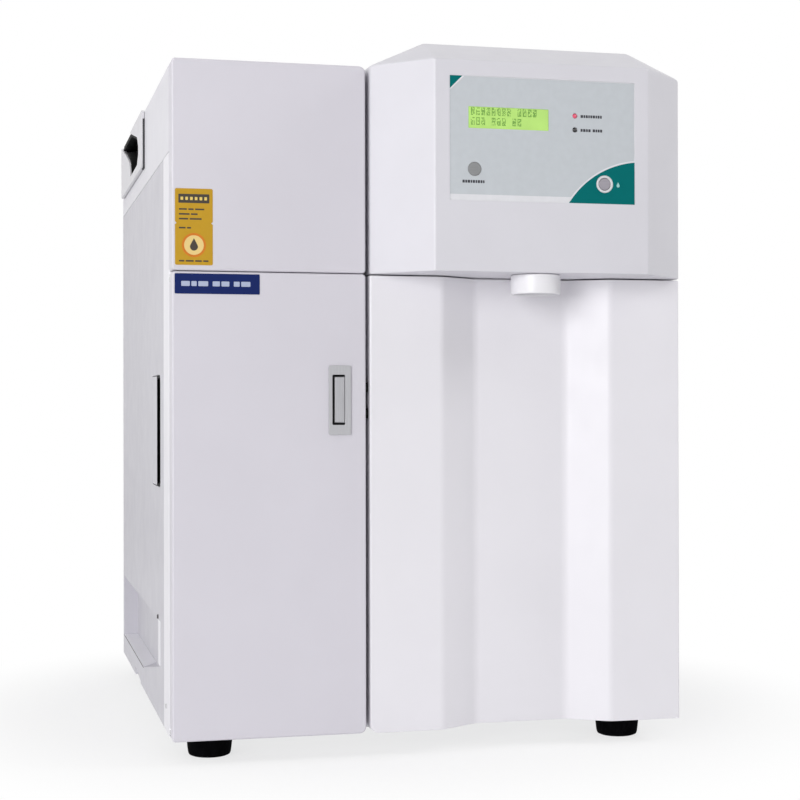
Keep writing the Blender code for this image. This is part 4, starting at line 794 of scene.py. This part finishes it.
class PURIFIER_OT_fasteners(PieceOperator, bpy.types.Operator):
    """Adds the screws of the frame, the sides and the rear panel, and the bare rating plate"""

    bl_idname = "purifier.fasteners"
    bl_label = "Screws and rating plate"

    FRAME_SCREW, FRAME_SCREW_HEIGHT = (45.0, 20.0), 0.7
    SIDE_SCREW, SIDE_SCREW_HEIGHT = (109.0, 82.0), 1.05
    SIDE_RADIUS = 1.9
    REAR_COLUMNS, REAR_ROWS, REAR_RADIUS, REAR_HEIGHT = (9.0, 205.0, 401.0), (9.0, 262.0, 508.0), 3.2, 1.3
    PLATE, PLATE_BEND, PLATE_THICK = (250.0, 330.0, 271.0, 319.0), 2.5, 0.35
    PLATE_COLUMNS, PLATE_ROWS, PLATE_RADIUS, PLATE_HEIGHT = (255.0, 325.0), (276.0, 314.0), 1.3, 0.6

    def screw(self, bm, axis, centre, face, out, radius):
        """A pan head with a cross recess, standing out from a face."""
        across, up = centre
        arm, reach, shoulder = radius * 0.14, radius * 0.6, face + out * 0.55
        cross = [(arm, arm), (reach, arm), (reach, -arm), (arm, -arm), (arm, -reach), (-arm, -reach), (-arm, -arm),
                 (-reach, -arm), (-reach, arm), (-arm, arm), (-arm, reach), (arm, reach)]
        recess = [(across + a, up + b) for a, b in cross]
        slab(bm, axis, circle(centre, radius, 24), *sorted((face - out * 0.1, shoulder)))
        slab(bm, axis, circle(centre, radius * 0.86, 24), *sorted((shoulder, face + out)), [recess])

    def make(self, paint, print_colours):
        zinc = galvanised("screw_zinc", (0.52, 0.52, 0.53))
        for side in ("left", "right"):
            face, way = (0.0, -1) if side == "left" else (WIDTH, 1)
            head = bmesh.new()
            self.screw(head, "X", self.FRAME_SCREW, face, way * self.FRAME_SCREW_HEIGHT, self.SIDE_RADIUS)
            piece(f"frame_screw_{side}", head, zinc, "cabinet", edge=EASED_THIN)
            head = bmesh.new()
            self.screw(head, "X", self.SIDE_SCREW, face, way * self.SIDE_SCREW_HEIGHT, self.SIDE_RADIUS)
            dark = textured_plastic(f"side_screw_dark_{side}", (0.09, 0.085, 0.09), 0.5, 0.3)
            piece(f"side_screw_{side}", head, dark, "cabinet", edge=EASED_THIN)
        rear = bmesh.new()
        middle = (self.REAR_COLUMNS[1], self.REAR_ROWS[1])
        for place in product(self.REAR_COLUMNS, self.REAR_ROWS):
            if place != middle:
                self.screw(rear, "Y", place, DEPTH, self.REAR_HEIGHT, self.REAR_RADIUS)
        for place in product(self.PLATE_COLUMNS, self.PLATE_ROWS):
            self.screw(rear, "Y", place, DEPTH + 0.3, self.PLATE_HEIGHT, self.PLATE_RADIUS)
        piece("rear_screws", rear, zinc, "cabinet", edge=EASED_THIN)
        plate = slab(bmesh.new(), "Y", rounded(*self.PLATE, self.PLATE_BEND), DEPTH - 0.1, DEPTH + self.PLATE_THICK)
        satin = brushed("rating_plate_satin", (0.62, 0.62, 0.63), 0.34, 0.9, (60, 1, 1))
        piece("rating_plate", plate, satin, "cabinet", edge=EASED_THIN)


class PURIFIER_OT_feet(PieceOperator, bpy.types.Operator):
    """Finishes the rubber feet"""

    bl_idname = "purifier.feet"
    bl_label = "Feet"

    def make(self, paint, print_colours):
        black = rubber("foot_rubber")
        for place in ("front_left", "front_right", "rear_left", "rear_right"):
            finished(f"foot_{place}", black)


class PURIFIER_OT_filters(PieceOperator, bpy.types.Operator):
    """Finishes the filter bracket, the two cartridges and the two membrane vessels"""

    bl_idname = "purifier.filters"
    bl_label = "Filters"

    def make(self, paint, print_colours):
        finished("cartridge_bracket", galvanised("bracket_zinc", (0.60, 0.60, 0.61)))
        finished("sediment_cartridge", translucent("sump_blue", (0.30, 0.46, 0.62), 0.0))
        finished("carbon_cartridge", moulded("sump_white", (0.76, 0.77, 0.78)))
        white = moulded("vessel_white", (0.78, 0.78, 0.77))
        for side in ("left", "right"):
            finished(f"membrane_vessel_{side}", white)


class PURIFIER_OT_water_works(PieceOperator, bpy.types.Operator):
    """Finishes the tank, the pumps, the power supply, the tubes and the control board"""

    bl_idname = "purifier.water_works"
    bl_label = "Tank, pumps and tubes"

    def make(self, paint, print_colours):
        finished("reservoir_tank", translucent("tank_polyethylene", (0.74, 0.75, 0.73), 0.12), edge=0.0008)
        finished("tank_lid", textured_plastic("lid_blue", (0.02, 0.10, 0.36), 0.45), edge=0.0004)
        enamel = textured_plastic("motor_enamel", (0.045, 0.05, 0.065), 0.42)
        for node in ("booster_pump", "delivery_pump"):
            finished(node, enamel)
        finished("power_supply", galvanised("supply_sheet", (0.58, 0.59, 0.60)))
        blue = textured_plastic("tube_blue", (0.03, 0.15, 0.50), 0.3)
        for node in ("tube_feed", "tube_permeate", "tube_delivery"):
            finished(node, blue, PLAIN)
        finished("control_board", solder_mask("board_mask"), EASED_THIN)


class PURIFIER_OT_rear_services(PieceOperator, bpy.types.Operator):
    """Finishes the fittings, the power inlet and the power switch on the rear panel"""

    bl_idname = "purifier.rear_services"
    bl_label = "Rear services"

    def make(self, paint, print_colours):
        collar = moulded("fitting_white", (0.72, 0.73, 0.74))
        for node in ("feed_fitting", "drain_fitting"):
            finished(node, collar)
        black = black_plastic("service_black")
        for node in ("power_inlet", "switch_frame", "power_rocker"):
            finished(node, black, EASED_SMALL)


class PURIFIER_OT_stage(PieceOperator, bpy.types.Operator):
    """Sets the floor, the soft studio light and the camera"""

    bl_idname = "purifier.stage"
    bl_label = "Stage"

    # Each light's place and width
    LIGHTS = {
        "key": ((-2.0, -2.6, 0.8), 1.6),
        "side": ((-2.4, -0.7, 1.7), 1.4),
        "fill": ((2.2, -0.6, 1.6), 1.0),
        "top": ((-1.3, 0.1, 2.4), 2.0),
    }
    LIT_POINT = Vector((0, 0, 0.3))
    FLOOR_RADIUS, FLOOR_RINGS, FLOOR_STEPS = 3.0, 24, 96
    # The plain white starts to show at the first distance from the middle and has its full share at the second
    FADE = {"From Min": 0.24, "From Max": 0.46, "To Min": 0.70, "To Max": 1.0}
    CAMERA_PLACE, CAMERA_TILT = (-0.33696, -1.49356, 0.27112), (90.22, 0.11, -13.73)
    LENS, SENSOR = 75.2, 36

    def make(self, paint, print_colours):
        scene = bpy.context.scene
        self.make_floor()
        self.make_world(scene.purifier_stage.ambient)
        for name, (place, width) in self.LIGHTS.items():
            self.make_light(f"{name}_light", place, width, getattr(scene.purifier_stage, name))
        self.make_camera()
        scene.view_settings.view_transform = "Standard"

    def make_floor(self):
        rings, steps = self.FLOOR_RINGS, self.FLOOR_STEPS
        bm = bmesh.new()
        loops = []
        for i in range(1, rings + 1):
            radius = self.FLOOR_RADIUS * (i / rings) ** 1.5
            loops.append([bm.verts.new((*pair, 0)) for pair in circle((0, 0), radius, steps)])
        centre = bm.verts.new((0, 0, 0))
        for j in range(steps):
            after = (j + 1) % steps
            bm.faces.new((centre, loops[0][j], loops[0][after]))
            for inner, outer in zip(loops, loops[1:]):
                bm.faces.new((inner[j], outer[j], outer[after], inner[after]))
        mesh = bpy.data.meshes.new("floor")
        bm.to_mesh(mesh)
        bm.free()
        mesh.materials.append(self.floor_finish())
        floor = bpy.data.objects.new("floor", mesh)
        bpy.context.scene.collection.objects.link(floor)

    def seen(self, nodes, links):
        """One for what the camera, metal or glass sees directly, else nought."""
        path = nodes.new("ShaderNodeLightPath")
        total = path.outputs["Is Camera Ray"]
        for name in ("Is Glossy Ray", "Is Transmission Ray"):
            add = nodes.new("ShaderNodeMath")
            add.use_clamp = True
            links.new(total, add.inputs[0])
            links.new(path.outputs[name], add.inputs[1])
            total = add.outputs["Value"]
        return total

    def floor_finish(self):
        """Pale matt sheet whose far part turns into plain white, so that no horizon shows."""
        material = bpy.data.materials.new("floor_sheet")
        material.use_nodes = True
        nodes, links = material.node_tree.nodes, material.node_tree.links
        shader = nodes["Principled BSDF"]
        shader.inputs["Base Color"].default_value = (0.86, 0.86, 0.87, 1)
        shader.inputs["Roughness"].default_value = 0.8
        coordinates = nodes.new("ShaderNodeTexCoord")
        distance = nodes.new("ShaderNodeVectorMath")
        distance.operation = "LENGTH"
        links.new(coordinates.outputs["Object"], distance.inputs[0])
        fade = nodes.new("ShaderNodeMapRange")
        fade.interpolation_type = "SMOOTHSTEP"
        for name, value in self.FADE.items():
            fade.inputs[name].default_value = value
        links.new(distance.outputs["Value"], fade.inputs["Value"])
        share = nodes.new("ShaderNodeMath")
        share.operation = "MULTIPLY"
        links.new(self.seen(nodes, links), share.inputs[0])
        links.new(fade.outputs["Result"], share.inputs[1])
        glow = nodes.new("ShaderNodeEmission")
        mix = nodes.new("ShaderNodeMixShader")
        links.new(share.outputs["Value"], mix.inputs["Fac"])
        links.new(shader.outputs["BSDF"], mix.inputs[1])
        links.new(glow.outputs["Emission"], mix.inputs[2])
        links.new(mix.outputs["Shader"], nodes["Material Output"].inputs["Surface"])
        return material

    def make_world(self, ambient):
        world = bpy.data.worlds.new("studio")
        bpy.context.scene.world = world
        world.use_nodes = True
        nodes, links = world.node_tree.nodes, world.node_tree.links
        strength = nodes.new("ShaderNodeMapRange")
        strength.inputs["To Min"].default_value = ambient
        strength.inputs["To Max"].default_value = 1.0
        links.new(self.seen(nodes, links), strength.inputs["Value"])
        background = nodes["Background"]
        background.inputs["Color"].default_value = (1, 1, 1, 1)
        links.new(strength.outputs["Result"], background.inputs["Strength"])

    def make_light(self, name, place, width, power):
        light = bpy.data.lights.new(name, "AREA")
        light.shape = "DISK"
        light.size = width
        light.energy = power
        obj = bpy.data.objects.new(name, light)
        obj.location = place
        obj.rotation_euler = (self.LIT_POINT - Vector(place)).to_track_quat("-Z", "Y").to_euler()
        bpy.context.scene.collection.objects.link(obj)

    def make_camera(self):
        camera = bpy.data.cameras.new("camera")
        camera.lens, camera.sensor_width = self.LENS, self.SENSOR
        obj = bpy.data.objects.new("camera", camera)
        obj.location = self.CAMERA_PLACE
        obj.rotation_euler = [radians(angle) for angle in self.CAMERA_TILT]
        bpy.context.scene.collection.objects.link(obj)
        bpy.context.scene.camera = obj


SETTINGS = {"purifier_paint": PaintSettings, "purifier_print": PrintSettings, "purifier_stage": StageSettings}
OPERATORS = (
    PURIFIER_OT_cabinet, PURIFIER_OT_front_panels, PURIFIER_OT_header, PURIFIER_OT_door, PURIFIER_OT_latch,
    PURIFIER_OT_control_panel, PURIFIER_OT_display, PURIFIER_OT_buttons, PURIFIER_OT_outlet, PURIFIER_OT_labels,
    PURIFIER_OT_handles, PURIFIER_OT_fasteners, PURIFIER_OT_feet, PURIFIER_OT_filters, PURIFIER_OT_water_works,
    PURIFIER_OT_rear_services, PURIFIER_OT_stage,
)


class PURIFIER_PT_sidebar(bpy.types.Panel):
    """Lists the pieces and their settings"""

    bl_idname = "PURIFIER_PT_sidebar"
    bl_label = "Water purifier"
    bl_space_type = "VIEW_3D"
    bl_region_type = "UI"
    bl_category = "Purifier"

    def draw(self, context):
        for name, group in SETTINGS.items():
            box = self.layout.box()
            for setting in group.__annotations__:
                box.prop(getattr(context.scene, name), setting)
        for operator in OPERATORS:
            self.layout.operator(operator.bl_idname)


def register():
    for name, group in SETTINGS.items():
        bpy.utils.register_class(group)
        setattr(bpy.types.Scene, name, bpy.props.PointerProperty(type=group))
    for operator in OPERATORS:
        bpy.utils.register_class(operator)
    bpy.utils.register_class(PURIFIER_PT_sidebar)


def unregister():
    bpy.utils.unregister_class(PURIFIER_PT_sidebar)
    for operator in reversed(OPERATORS):
        bpy.utils.unregister_class(operator)
    for name, group in SETTINGS.items():
        delattr(bpy.types.Scene, name)
        bpy.utils.unregister_class(group)


def main():
    register()
    for operator in OPERATORS:
        group, name = operator.bl_idname.split(".")
        getattr(getattr(bpy.ops, group), name)()


if __name__ == "__main__":
    main()
